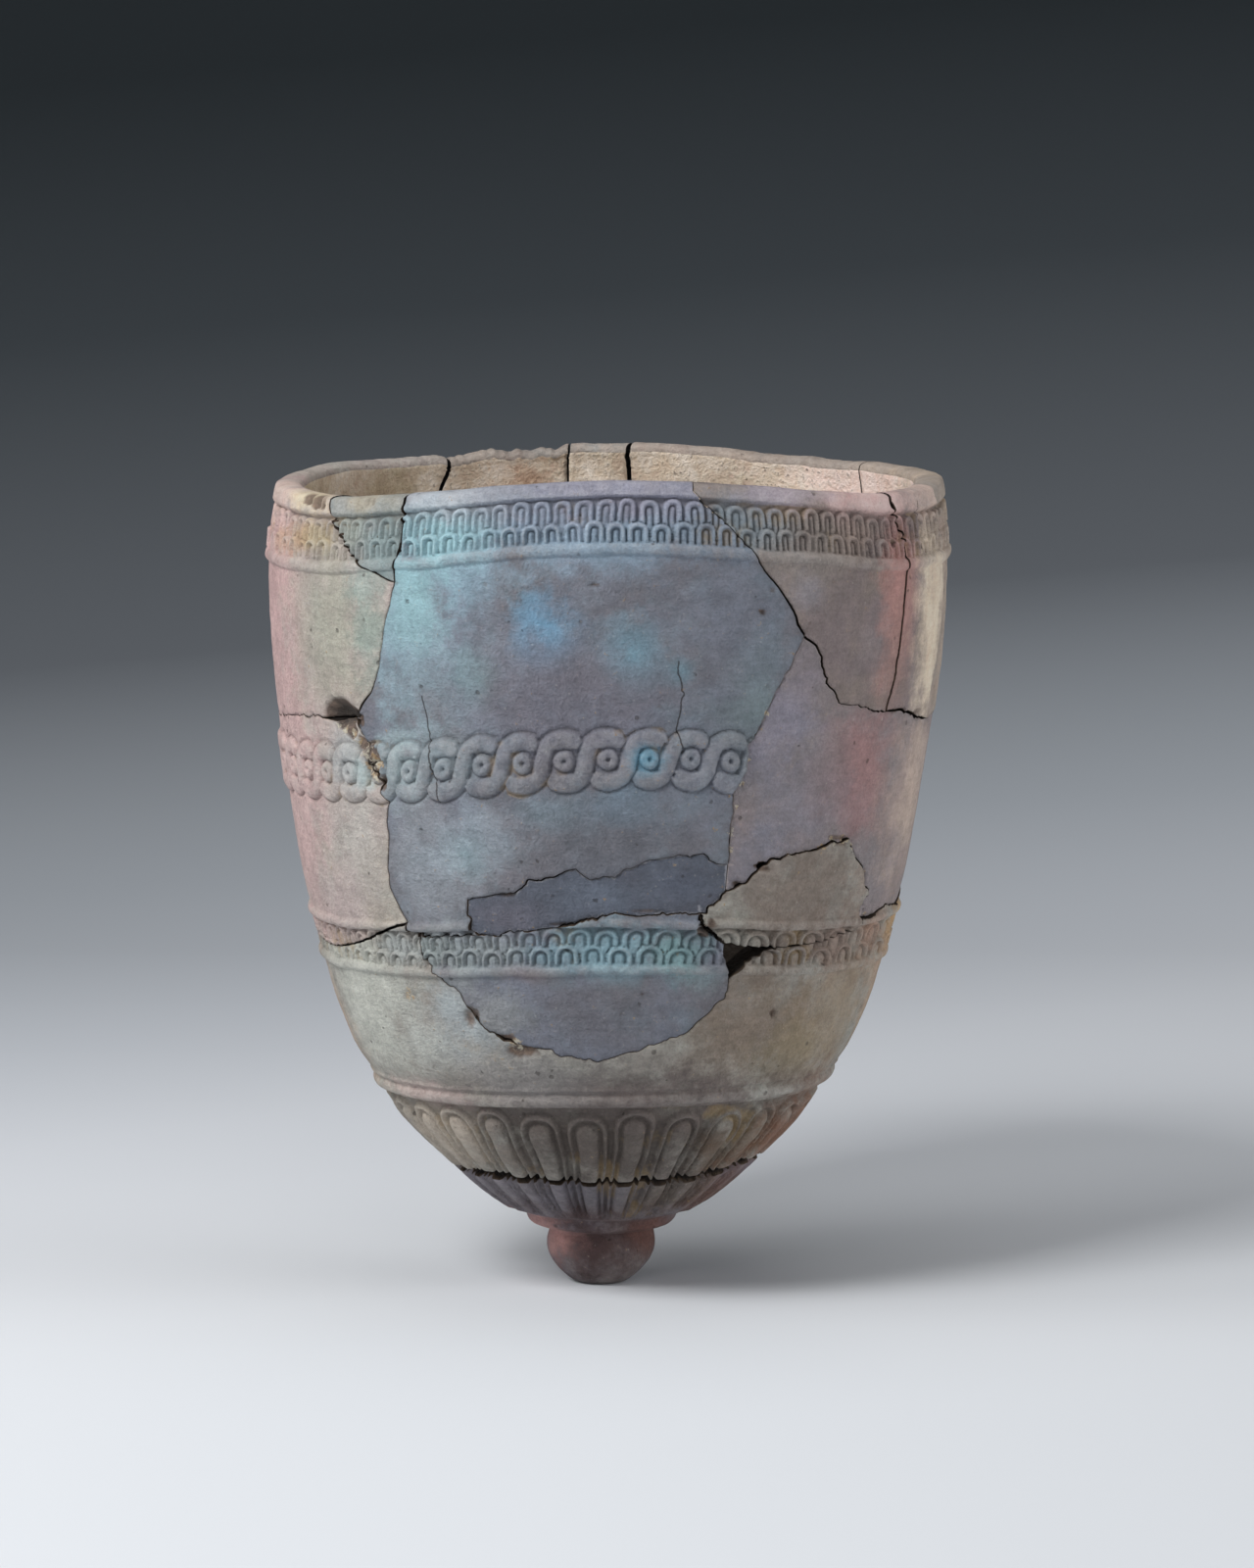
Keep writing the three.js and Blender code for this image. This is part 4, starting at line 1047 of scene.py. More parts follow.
# %% [markdown]
# The guilloche is two strands that twist round a row of eyes. It looks the same when it is turned
# half round at an eye, so only its upper half is drawn. There one strand comes up on the left and
# goes over the eye, and the next one rises on the right and covers its end.

# %% Guilloche
GUILLOCHE_HEIGHT = 119.6
EYE_PITCH, EYE_RADIUS = 9.05, 2.65
# A strand is this wide on each side, and turns round the eye at this radius.
STRAND_HALF, TURN_RADIUS = 2.02, 4.6
# Nearer to the row's middle than this the strands run straight, leaning by this much.
STRAIGHT_BELOW, STRAND_LEAN = 2.5, 0.266
EYE_SECTION = [(0, .2), (.1, .24), (.2, .72), (.34, .9), (.55, .92), (.7, .8), (.82, .5), (.92, .1),
               (1, 0)]
eye_across, _ = cells(size["Guilloche eyes"], EYE_PITCH, first=0.04, half=0.5)
eye_up = carve("-", height_cut, GUILLOCHE_HEIGHT)
half_turn = carve("Math.SIGN", eye_up)
gx = carve("*", eye_across, half_turn)
gy = carve("Math.ABSOLUTE", eye_up)
from_eye = round_distance(gx, gy)
from_next = round_distance(carve("-", gx, EYE_PITCH), gy)
in_straight = carve("Math.LESS_THAN", gy, STRAIGHT_BELOW)


def strand_distance(centre_line, turn_distance, tuck):
    """The distance from a strand's middle, in half widths. Where it goes under, tuck narrows it."""
    centre = carve("+", carve("*", gy, STRAND_LEAN), centre_line)
    straight = carve("Math.ABSOLUTE", carve("-", gx, centre))
    turning = carve("Math.ABSOLUTE", carve("-", turn_distance, TURN_RADIUS))
    beyond = carve("Math.MAXIMUM", carve("-", gx, 3.4), 0.0)
    tucked = carve("+", turning, carve("*", beyond, tuck))
    return carve("/", carve("Mix", in_straight, tucked, straight), STRAND_HALF)


over = strand_distance(-EYE_PITCH / 2, from_eye, 1.2)
rising = strand_distance(EYE_PITCH / 2, from_next, 0.0)
eye_form = carve("FloatCurve", 1.0, carve("/", from_eye, EYE_RADIUS), curve=EYE_SECTION)
eye_form = carve("*", eye_form, carve("Math.LESS_THAN", from_eye, EYE_RADIUS))
guilloche_form = eye_form
for strand in (over, rising):
    on_strand = carve("Math.LESS_THAN", strand, 1.0)
    guilloche_form = carve("Mix", on_strand, guilloche_form, dome(strand, STRAND_POWER))
nearest = carve("Math.MINIMUM", carve("Math.MINIMUM", over, rising), carve("/", from_eye, 2.2))
guilloche_inside = carve("-", 1.0, carve("MapRange", nearest, 1.06, 1.4, **EASED))

# %% [markdown]
# The tongues stand on the bowl like petals round the foot: a raised pad, a narrow groove, and a thin
# ridge that arches over the pad. They narrow towards the collar with the wall.

# %% Tongues, ridges and wear
TONGUE_SECTION = [(0, 0), (.04, .4), (.09, .78), (.16, .86), (.23, .6), (.3, .16), (.38, .12), (.46, .5),
                  (.56, .86), (.7, .97), (1, 1)]
TONGUE_PITCH, TONGUE_TOP, ARCH_RISE = 10.4, 45.0, 5.2
tongue_across, tongue_number = cells(size["Tongues"], TONGUE_PITCH, first=-0.3075, half=0.5)
tongue_top = carve("+", TONGUE_TOP, carve("*", chance(tongue_number, 30), 1.8))
breadth = carve("+", 0.44 * TONGUE_PITCH, carve("*", chance(tongue_number, 31), 1.0))
slant = carve("*", carve("*", chance(tongue_number, 32), 0.09), carve("-", height_at, 36.0))
tongue_off = carve("/", carve("+", tongue_across, slant), breadth)
tongue_form, _ = arch(tongue_off, height_at, tongue_top, ARCH_RISE, 2.4, TONGUE_SECTION)
tongue_inside = carve("-", carve("MapRange", height_at, 15.5, 21.0, **EASED),
                      carve("MapRange", height_at, 45.4, 46.6, **EASED))

# Each field is sunk to its ground, the third value, and its form stands as tall as the last over that.
FIELDS = [
    (upper_form, upper_inside, 1.0, 1.65), (lower_form, lower_inside, 0.9, 1.5),
    (guilloche_form, guilloche_inside, 0.4, 1.35), (tongue_form, tongue_inside, 1.15, 1.5),
]
tilted = carve("-", height_at, carve("*", carve("Math.SINE", angle_at), 0.8))
# Each ridge: the height it goes by, its middle, half its width, and how far it stands out.
RIDGES = [
    (tilted, 47.9, 1.3, 1.05), (tilted, 50.4, 0.5, 0.3), (height_cut, 164.6, 1.4, 0.92),
    (height_cut, 76.2, 1.1, 0.86), (height_cut, 86.0, 1.05, 0.9),
]
lip_step = carve("*", carve("MapRange", height_cut, 175.5, 176.4, **EASED), 0.6)
deep, groove = lip_step, 0.0
for ridge in RIDGES:
    deep = carve("+", deep, bead(*ridge))
for form, inside, ground, tall in FIELDS:
    deep = carve("+", deep, carve("*", carve("-", carve("*", form, tall), ground), inside))
    groove = carve("+", groove, carve("*", carve("-", 1.0, form), inside))
deep = carve("*", deep, size["Carving depth"])
groove = carve("*", groove, size["Carving depth"])

# The wall is uneven, its breaks are worn within half a millimetre, and chips are taken off.
uneven = carve("+", carve("*", unsteady["slow"][0], 1.1), carve("*", unsteady["fine"][0], 0.34))
uneven = carve("*", uneven, size["Unevenness"])
near_edge = carve("Math.POWER", math.e, carve("*", edge_at, -3.5))
edge_wear = carve("*", near_edge, carve("+", 0.08, carve("Math.ABSOLUTE", unsteady["fine"][1])))
lifted = carve("+", deep, uneven)
for taken in (edge_wear, loss_at, size["Sunk"]):
    lifted = carve("-", lifted, taken)
push = carve("*", carve("*", lifted, skin_at), MM)
offset = carve("VectorMath.SCALE", outward_at, {"Scale": push})
kept = entry.outputs["Geometry"]
for key, value in (("groove", groove), ("relief", deep)):
    kept = carve("StoreNamedAttribute", kept, None, key, value, data_type="FLOAT", domain="POINT")
carved = carve("SetPosition", {"Geometry": kept, "Offset": offset})
finished = carve("SetMaterial", carve("RealizeInstances", carved), None, entry.outputs["Material"])
carve("GroupOutput", finished)
print("carving nodes:", len(carving.nodes))

# %% [markdown]
# ## Carving the sherds
# Each sherd gets the tree as a modifier, with its sizes set on it. The fills are smooth plaster, so
# their carving depth is nought and they lie a little lower. The evaluated result becomes a plain
# mesh, and the blank goes.

# %% Plain meshes from the tree
FILL_SIZES = {"Carving depth": 0.0, "Unevenness": 0.8, "Sunk": 0.35}
identifier = {item.name: item.identifier
              for item in carving.interface.items_tree if item.in_out == "INPUT"}


def carved_piece(name, blank, material):
    """The blank with its mesh as the tree carves it."""
    modifier = blank.modifiers.new("carving", "NODES")
    modifier.node_group = carving
    sizes = CARVING_SIZES | (FILL_SIZES if name.endswith("_fill") else {})
    for label, value in sizes.items():
        modifier[identifier[label]] = value
    modifier[identifier["Material"]] = material
    bpy.context.view_layer.update()
    evaluated = blank.evaluated_get(bpy.context.evaluated_depsgraph_get())
    mesh = bpy.data.meshes.new_from_object(evaluated)
    blank.modifiers.clear()
    old = blank.data
    blank.data = mesh
    bpy.data.meshes.remove(old)
    return blank


# %% [markdown]
# ## The finish: worn, fired frit
# The glaze has weathered away to a dull skin that is stained by the soil, so no two sherds have the
# same colour. Stains, and a few patches of painted shade and painted light, are laid on by a node
# group: a colour, a centre, a radius, and how tall and how strong the stain is. Its border is torn by
# a noise that all stains of a material share.

# %% Colours and stains
def linear(code, alpha=1.0):
    """A linear colour from an sRGB hex value."""
    parts = [int(code[i: i + 2], 16) / 255 for i in (1, 3, 5)]
    return (*[p / 12.92 if p <= 0.04045 else ((p + 0.055) / 1.055) ** 2.4 for p in parts], alpha)


def spot(angle, place):
    """The point on the wall at an angle and a height, in metres."""
    return tuple(outer_point(np.radians([angle]), np.array([place], float))[0] * MM)


stain = bpy.data.node_groups.new("stain", "ShaderNodeTree")
for label, kind in (
        ("Under", "Color"), ("Here", "Vector"), ("Torn", "Float"), ("Colour", "Color"),
        ("Centre", "Vector"), ("Radius", "Float"), ("Tallness", "Float"), ("Amount", "Float")):
    stain.interface.new_socket(label, in_out="INPUT", socket_type="NodeSocket" + kind)
stain.interface.new_socket("Result", in_out="OUTPUT", socket_type="NodeSocketColor")
lay = partial(add, stain)
laid_on = lay("GroupInput").outputs
off = lay("VectorMath.SUBTRACT", laid_on["Here"], laid_on["Centre"])
squeeze = lay("CombineXYZ", 1.0, 1.0, lay("/", 1.0, laid_on["Tallness"]))
away = lay("VectorMath.LENGTH", lay("VectorMath.MULTIPLY", off, squeeze))
reach = lay("+", lay("/", away, laid_on["Radius"]), laid_on["Torn"])
cover = lay("*", lay("MapRange", reach, 0.15, 1.3, 1.0, 0.0, **EASED), laid_on["Amount"])
lay("GroupOutput", lay("Mix", cover, laid_on["Under"], laid_on["Colour"], **IN_COLOUR))
print("stain nodes:", len(stain.nodes))

# %% [markdown]
# One function makes the material of each slot. Fired frit is dull and coarse, like a stone paste. It
# lays clouds of colour over a ground and stains over them, and adds what all sherds share: sandy
# mottling, brush marks, dirt and painted shade in the grooves, rubbed crests, pits, chips with painted
# shade where deep, hairlines, the brown broken faces blackened inwards by soil and painted shade, and
# the cream inside, darker towards the bottom with painted shade. Every noise has the size in
# millimetres of what it stands for.

# %% Values of the finish
GREYS = (0.38, 0.38, 0.38, 1.0), (0.64, 0.64, 0.64, 1.0)
NOISES = {
    # What it stands for: its length in millimetres, its detail and its roughness.
    "clouds": (26, 4, 0.6), "tints": (12, 5, 0.65), "torn": (9, 6, 0.66), "rust": (19, 4, 0.65),
    "patches": (7, 5, 0.7), "mottle": (2.6, 5, 0.7), "sand": (1.1, 3, 0.65), "grain": (0.5, 2, 0.6),
    "strokes": (5, 3, 0.6),
}
TONES = {
    # Two colours that a noise mixes: the noise, where it starts and ends, and the colours.
    "chip": ("mottle", 0.35, 0.65, "#41352e", "#786457"),
    "clean": ("mottle", 0.47, 0.6, "#bfb8a6", "#a08560"),
    "body": ("mottle", 0.35, 0.65, "#40332b", "#75624f"),
    "cream": ("tints", 0.36, 0.66, "#cbb7a1", "#f2e4d3"),
}
# Mottling: a noise, where it starts and ends, and its strength.
OUTSIDE_MOTTLING = [
    ("patches", 0.35, 0.65, 0.36), ("mottle", 0.32, 0.68, 0.34), ("sand", 0.3, 0.7, 0.26),
    ("grain", 0.3, 0.7, 0.26), ("strokes", 0.35, 0.65, 0.18),
]
# Millimetres from pit to pit and from fleck to fleck, and how far the sand bends a pit's outline.
PIT_SPACING, FLECK_SPACING, PIT_BEND = 3.1, 1.5, 0.9
# The inside is painted dark, as painted shade deep in the vessel with some soil staining, up to the first
# height, and clear from the second on, in metres.
SHADE_AND_SOIL_BELOW, CLEAR_ABOVE = 0.085, 0.155
INSIDE_MOTTLING = [("patches", 0.35, 0.65, 0.4), ("mottle", 0.32, 0.68, 0.4), ("sand", 0.3, 0.7, 0.3)]
INSIDE_STAINS_AND_LIGHT = [
    (198, 170, 12, .8, "#a8744f", .65), (184, 174, 8, .8, "#ab967e", .5),
    (226, 172, 15, .8, "#a8976f", .5), (160, 170, 13, .5, "#8d7a66", .45),
    # Partly painted light: these two near-white stains high on the inner right wall are its pale cream
    # brightened where the key lamp falls into the mouth.
    (120, 176, 34, 1.0, "#f6dcd2", .88), (85, 176, 26, 1.0, "#f2d9d1", .9),
    (264, 176, 22, .8, "#cbb898", .6), (250, 170, 18, .5, "#b9ab8f", .45),
    (284, 172, 15, .9, "#c9baa3", .6),
]


# %% Worn frit
def worn_frit(name, ground, cloud, tint, stains, groove_dirt_and_shade="#3b342f", bruise="#544a44", bruising=0.3):
    """Fired frit with a weathered glaze: dull, grainy and pitted."""
    material = bpy.data.materials.new(name)
    material.use_nodes = True
    material.node_tree.nodes.clear()
    node = partial(add, material.node_tree)
    here = node("TexCoord").outputs["Object"]
    groove, edge, loss, kind, relief, hair, pale, within = (
        node("Attribute", attribute_name=key).outputs["Fac"]
        for key in ("groove", "edge", "loss", "kind", "relief", "hair", "pale", "within"))
    # Brush marks run round the wall: five times as long as they are high.
    flat = node("VectorMath.MULTIPLY", here, (1.0, 1.0, 5.0))
    noise, tone = {}, {}
    for key, (length, detail, rough) in NOISES.items():
        noise[key] = node("TexNoise", {
            "Vector": flat if key == "strokes" else here, "Scale": 1 / (length * MM),
            "Detail": float(detail), "Roughness": rough}).outputs["Fac"]
    for key, (source, low, high, first, second) in TONES.items():
        tone[key] = node("Mix", node("MapRange", noise[source], low, high), linear(first), linear(second),
                         **IN_COLOUR)
    torn = node("*", node("-", node("+", noise["torn"], node("*", noise["mottle"], 0.35)), 0.675), 2.2)

    # The skin is slow clouds of colour on a ground, the inside is cream, and both are stained.
    clouded = node("MapRange", noise["clouds"], 0.38, 0.62, **EASED)
    tinted = node("*", node("MapRange", noise["tints"], 0.48, 0.72, **EASED), 0.5)
    skin = node("Mix", clouded, linear(ground), linear(cloud), **IN_COLOUR)
    skin = node("Mix", tinted, skin, linear(tint), **IN_COLOUR)
    surfaces = []
    for surface, marks, mottling in (
            (skin, stains, OUTSIDE_MOTTLING), (tone["cream"], INSIDE_STAINS_AND_LIGHT, INSIDE_MOTTLING)):
        for angle, place, radius, tallness, code, amount in marks:
            surface = node("Group", {
                "Under": surface, "Here": here, "Torn": torn, "Colour": linear(code),
                "Centre": spot(angle, place), "Radius": radius * MM, "Tallness": tallness,
                "Amount": amount}, node_tree=stain)
        for key, low, high, amount in mottling:
            grey = node("Mix", node("MapRange", noise[key], low, high, **EASED), *GREYS, **IN_COLOUR)
            surface = node("Mix", amount, surface, grey, data_type="RGBA", blend_type="OVERLAY")
        surfaces.append(surface)
    colour, inside = surfaces

    # Crests are rubbed paler, dirt and painted shade with a little ochre lie in the grooves, and the
    # inside has specks.
    spread = []
    for field, low, high, key, start, end, least, most in (
            (relief, 0.2, 0.7, "mottle", 0.35, 0.6, 0.0, 0.17),
            (groove, 0.4, 1.0, "patches", 0.3, 0.7, 0.12, 0.48),
            (groove, 0.15, 0.5, "rust", 0.56, 0.64, 0.0, 0.35),
            (noise["sand"], 0.6, 0.68, "rust", 0.45, 0.6, 0.1, 0.7)):
        spread.append(node("*", node("MapRange", field, low, high, **EASED),
                           node("MapRange", noise[key], start, end, least, most)))
    rubbed, groove_dirt_and_shade_cover, ochre, speckled = spread

    # Pits: a cell in five has one, bent out of round by the sand. Pale flecks are small and round.
    bends = [node("*", noise[key], PIT_BEND * MM) for key in ("sand", "mottle", "grain")]
    bent = node("VectorMath.ADD", here, node("CombineXYZ", *bends))
    cell = node("TexVoronoi", {"Vector": bent, "Scale": 1 / (PIT_SPACING * MM)})
    pick = node("SeparateColor", cell.outputs["Color"]).outputs
    pit_size = node("MapRange", pick[1], 0.0, 1.0, 0.07, 0.2)
    pit = node("MapRange", node("/", cell.outputs["Distance"], pit_size), 0.6, 1.1, 1.0, 0.0, **EASED)
    pit = node("*", pit, node("MapRange", pick[0], 0.78, 0.82))
    flecks = node("TexVoronoi", {"Vector": here, "Scale": 1 / (FLECK_SPACING * MM)})
    chosen = node("SeparateColor", flecks.outputs["Color"]).outputs
    fleck = node("*", node("MapRange", flecks.outputs["Distance"], 0.06, 0.2, 0.16, 0.0),
                 node("MapRange", chosen[1], 0.8, 0.9))

    # Along a break the skin is bruised. Chips are brown, painted darker when deep as painted shade in the
    # hollow, or pale where clean.
    near = node("+", edge, node("*", node("-", noise["mottle"], 0.5), 1.8))
    bruised = node("MapRange", near, 0.0, 0.5, bruising, 0.0, **EASED)
    chip_depth_painted_shade = node("MapRange", loss, 0.9, 2.4, 0.0, 0.95)
    chip = node("Mix", chip_depth_painted_shade, tone["chip"], linear("#1f1916"), **IN_COLOUR)
    broken_up = node("+", node("*", node("-", noise["sand"], 0.5), 2.4),
                     node("*", node("-", noise["mottle"], 0.5), 1.6))
    paler = node("MapRange", node("+", pale, broken_up), 0.45, 0.8, 0.0, 0.85, **EASED)
    cracked = node("MapRange", hair, 0.06, 0.26, 0.8, 0.0, **EASED)

    # The broken faces are brown and blacker inwards, partly soil and partly painted shade deep in the
    # cracks. The inside is darker towards the bottom: painted shade deep in the vessel, with some soil
    # staining.
    soil_and_painted_shade = node("MapRange", within, 0.0, 0.24, 0.3, 0.98, **EASED)
    body = node("Mix", soil_and_painted_shade, tone["body"], linear("#17110e"), **IN_COLOUR)
    height = node("SeparateXYZ", here).outputs["Z"]
    depth = node("MapRange", height, SHADE_AND_SOIL_BELOW, CLEAR_ABOVE, 0.97, 0.0, **EASED)
    for cover, code in ((speckled, "#4a3a2e"), (depth, "#221b17")):
        inside = node("Mix", cover, inside, linear(code), **IN_COLOUR)

    # All layers of the outside in their order, and last the broken faces and the inside.
    for cover, laid in (
            (rubbed, linear("#bdb8b2")), (groove_dirt_and_shade_cover, linear(groove_dirt_and_shade)), (ochre, linear("#a08556")),
            (node("*", pit, 0.5), linear("#352e2b")), (fleck, linear("#d5cec2")),
            (bruised, linear(bruise)), (node("MapRange", loss, 0.15, 0.7, 0.0, 0.88), chip),
            (paler, tone["clean"]), (cracked, linear("#2a2422")),
            (node("MapRange", kind, 0.4, 0.6), body), (node("MapRange", kind, 1.4, 1.6), inside)):
        colour = node("Mix", cover, colour, laid, **IN_COLOUR)

    # Height for the bump, in millimetres. The broken faces are rougher and the inside is smoother.
    bumps = node("*", node("MapRange", kind, 0.4, 0.6, 0.0, 0.5), noise["sand"])
    for value, height in ((noise["grain"], 0.2), (noise["sand"], 0.42), (noise["mottle"], 0.46),
                          (noise["strokes"], 0.16), (pit, -0.3), (paler, 0.1)):
        bumps = node("+", bumps, node("*", value, height))
    bumps = node("*", bumps, node("MapRange", kind, 1.4, 1.6, 1.0, 0.7))
    bump = node("Bump", {"Strength": 1.0, "Distance": MM, "Height": bumps})
    dull = node("MapRange", noise["mottle"], 0.3, 0.7, 0.72, 0.92)
    node("OutputMaterial", node("BsdfPrincipled", {
        "Base Color": colour, "Roughness": dull, "Normal": bump, "IOR": 1.5, "Specular IOR Level": 0.3}))
    return material


# %% [markdown]
# ## One finish for each slot
# The front is blue-grey with turquoise where the glaze is best kept. The left side is rosy, the
# right side goes from dusk brown to sand, and the base is lilac-grey over a reddish knob. A stain is
# an angle, a height, a radius in millimetres, its tallness, its colour and its strength.

# %% Finishes
FRONT_STAINS = [
    (-35, 152, 15, 1.5, "#8fa9b3", .85), (-30, 138, 12, 1.0, "#7f8a91", .4),
    (-24, 162, 14, .8, "#87a2b0", .6), (-10, 147.5, 8, 1.1, "#6a98b4", .75),
    (4, 141.5, 8, 1.0, "#6f99a9", .85), (12, 138.5, 4.5, .8, "#6c919e", .65),
    (-22, 139, 6, 1.0, "#7b999d", .5), (27, 143, 7, 1.2, "#75858c", .5), (26, 131, 6, 1.0, "#7e9394", .5),
    (-33, 157, 9, 1.3, "#88adb0", .55), (-26, 101, 6, 1.0, "#7a9ba0", .65),
    (3, 111.5, 9, .7, "#738a99", .55), (-10, 109, 7, .7, "#75868f", .4),
    (0, 171, 38, .33, "#8ea5b6", .75), (-29, 170, 14, .6, "#95b8bf", .85),
    (3, 179, 40, .22, "#8d8896", .8), (-29, 179, 18, .3, "#a9adb3", .7),
    (-29, 121, 13, .6, "#95a5a9", .5), (-39, 120, 7, 1.2, "#a0b0b1", .6),
    (6.9, 119.8, 4.4, .9, "#6097ad", .8), (-6, 131, 22, .7, "#6f6d78", .5),
    (20, 154, 18, 1.2, "#6c7380", .5), (-33, 98, 14, 1.2, "#8d9399", .65),
    (2, 97, 20, .9, "#60646c", .55), (-2, 137, 24, .5, "#6e686e", .5), (-22, 104, 11, .8, "#929da5", .5),
    (24, 128, 10, 1.4, "#6c767a", .5), (-1, 80, 17, .5, "#88a8b2", .8), (-35, 80.5, 7, .9, "#8f9896", .8),
    (-31, 74, 6, .8, "#84898a", .6), (15, 80, 9, .6, "#7b9c9d", .7), (-24, 81, 11, .6, "#929a99", .65),
    (-30, 100, 8, .5, "#8f9aa1", .4), (-14, 75.5, 8, .3, "#84706a", .45),
    (-3, 66, 16, .7, "#656368", .75), (-22, 67, 9, .8, "#8c8f8e", .55), (21, 75, 5, .8, "#7c9092", .5),
]
LEFT_STAINS = [
    (-82, 152, 30, 2.0, "#bc9b99", .85), (-80, 126, 26, 1.3, "#b99c99", .8),
    (-80, 104, 26, 1.4, "#b79d99", .8), (-54, 152, 14, 1.4, "#99998b", .75),
    (-43, 150, 6, 2.6, "#82968e", .6), (-44, 162, 6, 1.0, "#93a39d", .5),
    (-64, 170.5, 7, .7, "#b3905f", .55), (-72, 169, 5, .7, "#ad8f6b", .45),
    (-58, 171, 7, .6, "#b0a27f", .6), (-60, 179.8, 4, .5, "#86655b", .85),
    (-50, 121, 8, 1.0, "#9da8ab", .6), (-46, 119, 4, 1.0, "#a3bcbd", .6),
    (-72, 119, 12, .8, "#b7a09c", .6), (-50, 104, 12, 1.3, "#aba6a0", .6),
    (-60, 90, 14, .7, "#a99a97", .6), (-62, 179.4, 12, .4, "#d6c5a6", .85),
    (-80, 179, 14, .5, "#cdb8ac", .75), (-60, 81.5, 12, .4, "#9d8e87", .5),
]
WEDGE_STAINS = [
    (-40, 169, 9, 1.0, "#83989a", .6), (-48, 172, 6, .8, "#9a9f95", .6),
    (-45, 179, 10, .3, "#a59a86", .7),
]
RIGHT_STAINS = [
    (21, 170, 15, .6, "#7e929d", .65), (35, 166, 12, 1.0, "#87817c", .5),
    (57, 158, 9, 2.4, "#b0827a", .8), (57, 141, 9, 1.8, "#937871", .6),
    (71, 150, 12, 2.4, "#d8c7b1", .95), (84, 160, 14, 2.0, "#cbbba9", .9),
    (50, 179, 20, .26, "#d6b5b0", .9), (70, 179, 16, .4, "#c4aca1", .85),
    (30, 179, 14, .24, "#a79ba4", .75), (38, 152, 10, 1.2, "#746968", .6),
    (34, 157, 5, .9, "#8f8b90", .6), (46, 171, 9, .6, "#98857c", .5),
]
BACK_STAINS = [
    (100, 160, 32, 1.2, "#b3a08c", .65), (150, 150, 26, 1.2, "#9c8a7c", .6),
    (-150, 110, 32, 1.2, "#a58e85", .7), (-120, 150, 26, 1.3, "#b09892", .75),
    (180, 120, 26, 1.0, "#86898b", .65), (140, 100, 24, 1.2, "#8a7d78", .6),
    (-170, 160, 20, .9, "#84959b", .65), (200, 140, 15, .9, "#7b9aa0", .55),
    (170, 98, 22, 1.0, "#6f7480", .5), (-110, 105, 18, 1.2, "#a0a097", .6),
    (120, 130, 16, 1.6, "#a27b70", .55),
]
LOWER_STAINS_AND_SHADE = [
    (-60, 67, 24, 1.2, "#b3b4ab", .9), (-44, 82, 7, .7, "#a1a6a5", .75),
    (-92, 62, 20, 1.5, "#b59c88", .8), (-38, 61, 14, .9, "#a4a6a1", .65),
    (33, 64, 20, 1.0, "#7b6d60", .85), (58, 66, 18, 1.2, "#8b7a66", .75), (46, 57, 14, .6, "#7f735c", .6),
    (-8, 54, 24, .5, "#807c77", .6), (-29, 67, 11, 1.1, "#99a2a6", .65), (80, 74, 15, 1.2, "#a88e78", .7),
    (84, 84, 10, .8, "#b8966a", .75), (66, 83, 9, .8, "#9f7a67", .6), (45, 83, 14, .6, "#7e7169", .6),
    # Painted shade: the wide dark stain over the front tongues, at a height of 37, and the flat dark one
    # along the bead, at 48.3, darken the bowl where it turns down.
    (4, 37, 46, .45, "#554c47", .92), (-56, 38, 20, .8, "#afa395", .85), (46, 37, 14, .7, "#665443", .7),
    (76, 37, 20, .8, "#7d5a48", .85), (4, 48.3, 46, .16, "#685e5b", .8),
    (-50, 48.3, 18, .2, "#a8938f", .65), (39, 94, 22, .8, "#75685f", .85), (52, 81, 9, .8, "#88756b", .7),
    (57, 97, 8, 1.0, "#8c7a6f", .55), (100, 60, 24, 1.2, "#94806c", .6),
    (180, 65, 36, 1.0, "#8f897f", .65), (-150, 70, 20, 1.0, "#a69088", .5),
    (-18, 53, 16, .5, "#93918f", .5),
]
BASE_STAINS_AND_SHADE = [
    # Partly painted shade: the dark stain round the front at a height of 25 and the dark one over the
    # knob darken the underside where it faces down, over the knob's own reddish brown.
    (0, 25, 24, .6, "#625e63", .8), (-50, 24, 16, .7, "#7a757a", .7), (62, 24, 15, .8, "#6b5047", .8),
    (30, 24, 12, .8, "#5e5344", .6), (0, 5, 26, .5, "#4a3735", .95), (-60, 8, 9, .9, "#b38983", .85),
    (60, 8, 10, .8, "#68473e", .65), (180, 8, 14, .8, "#5b4741", .8),
]
FILL_STAINS = [
    (52, 122, 13, 1.5, "#987472", .8), (50, 111, 6, 1.4, "#8d7172", .5),
    (67, 116, 12, 1.8, "#a08e86", .75), (31, 128, 10, 1.4, "#84818f", .7),
    (36, 112, 14, 1.2, "#7d7c86", .6), (75, 112, 13, 1.8, "#b8a598", .8), (28, 98, 12, .8, "#777883", .6),
    (42, 118, 9, 1.0, "#857271", .5), (36, 140, 6, 1.2, "#80767a", .5),
]
FRONT_FILL_STAINS = [
    (2, 91, 12, .5, "#68707d", .6), (-18, 88, 9, .5, "#6d6a74", .5), (14, 94, 7, .6, "#5c6270", .5),
]
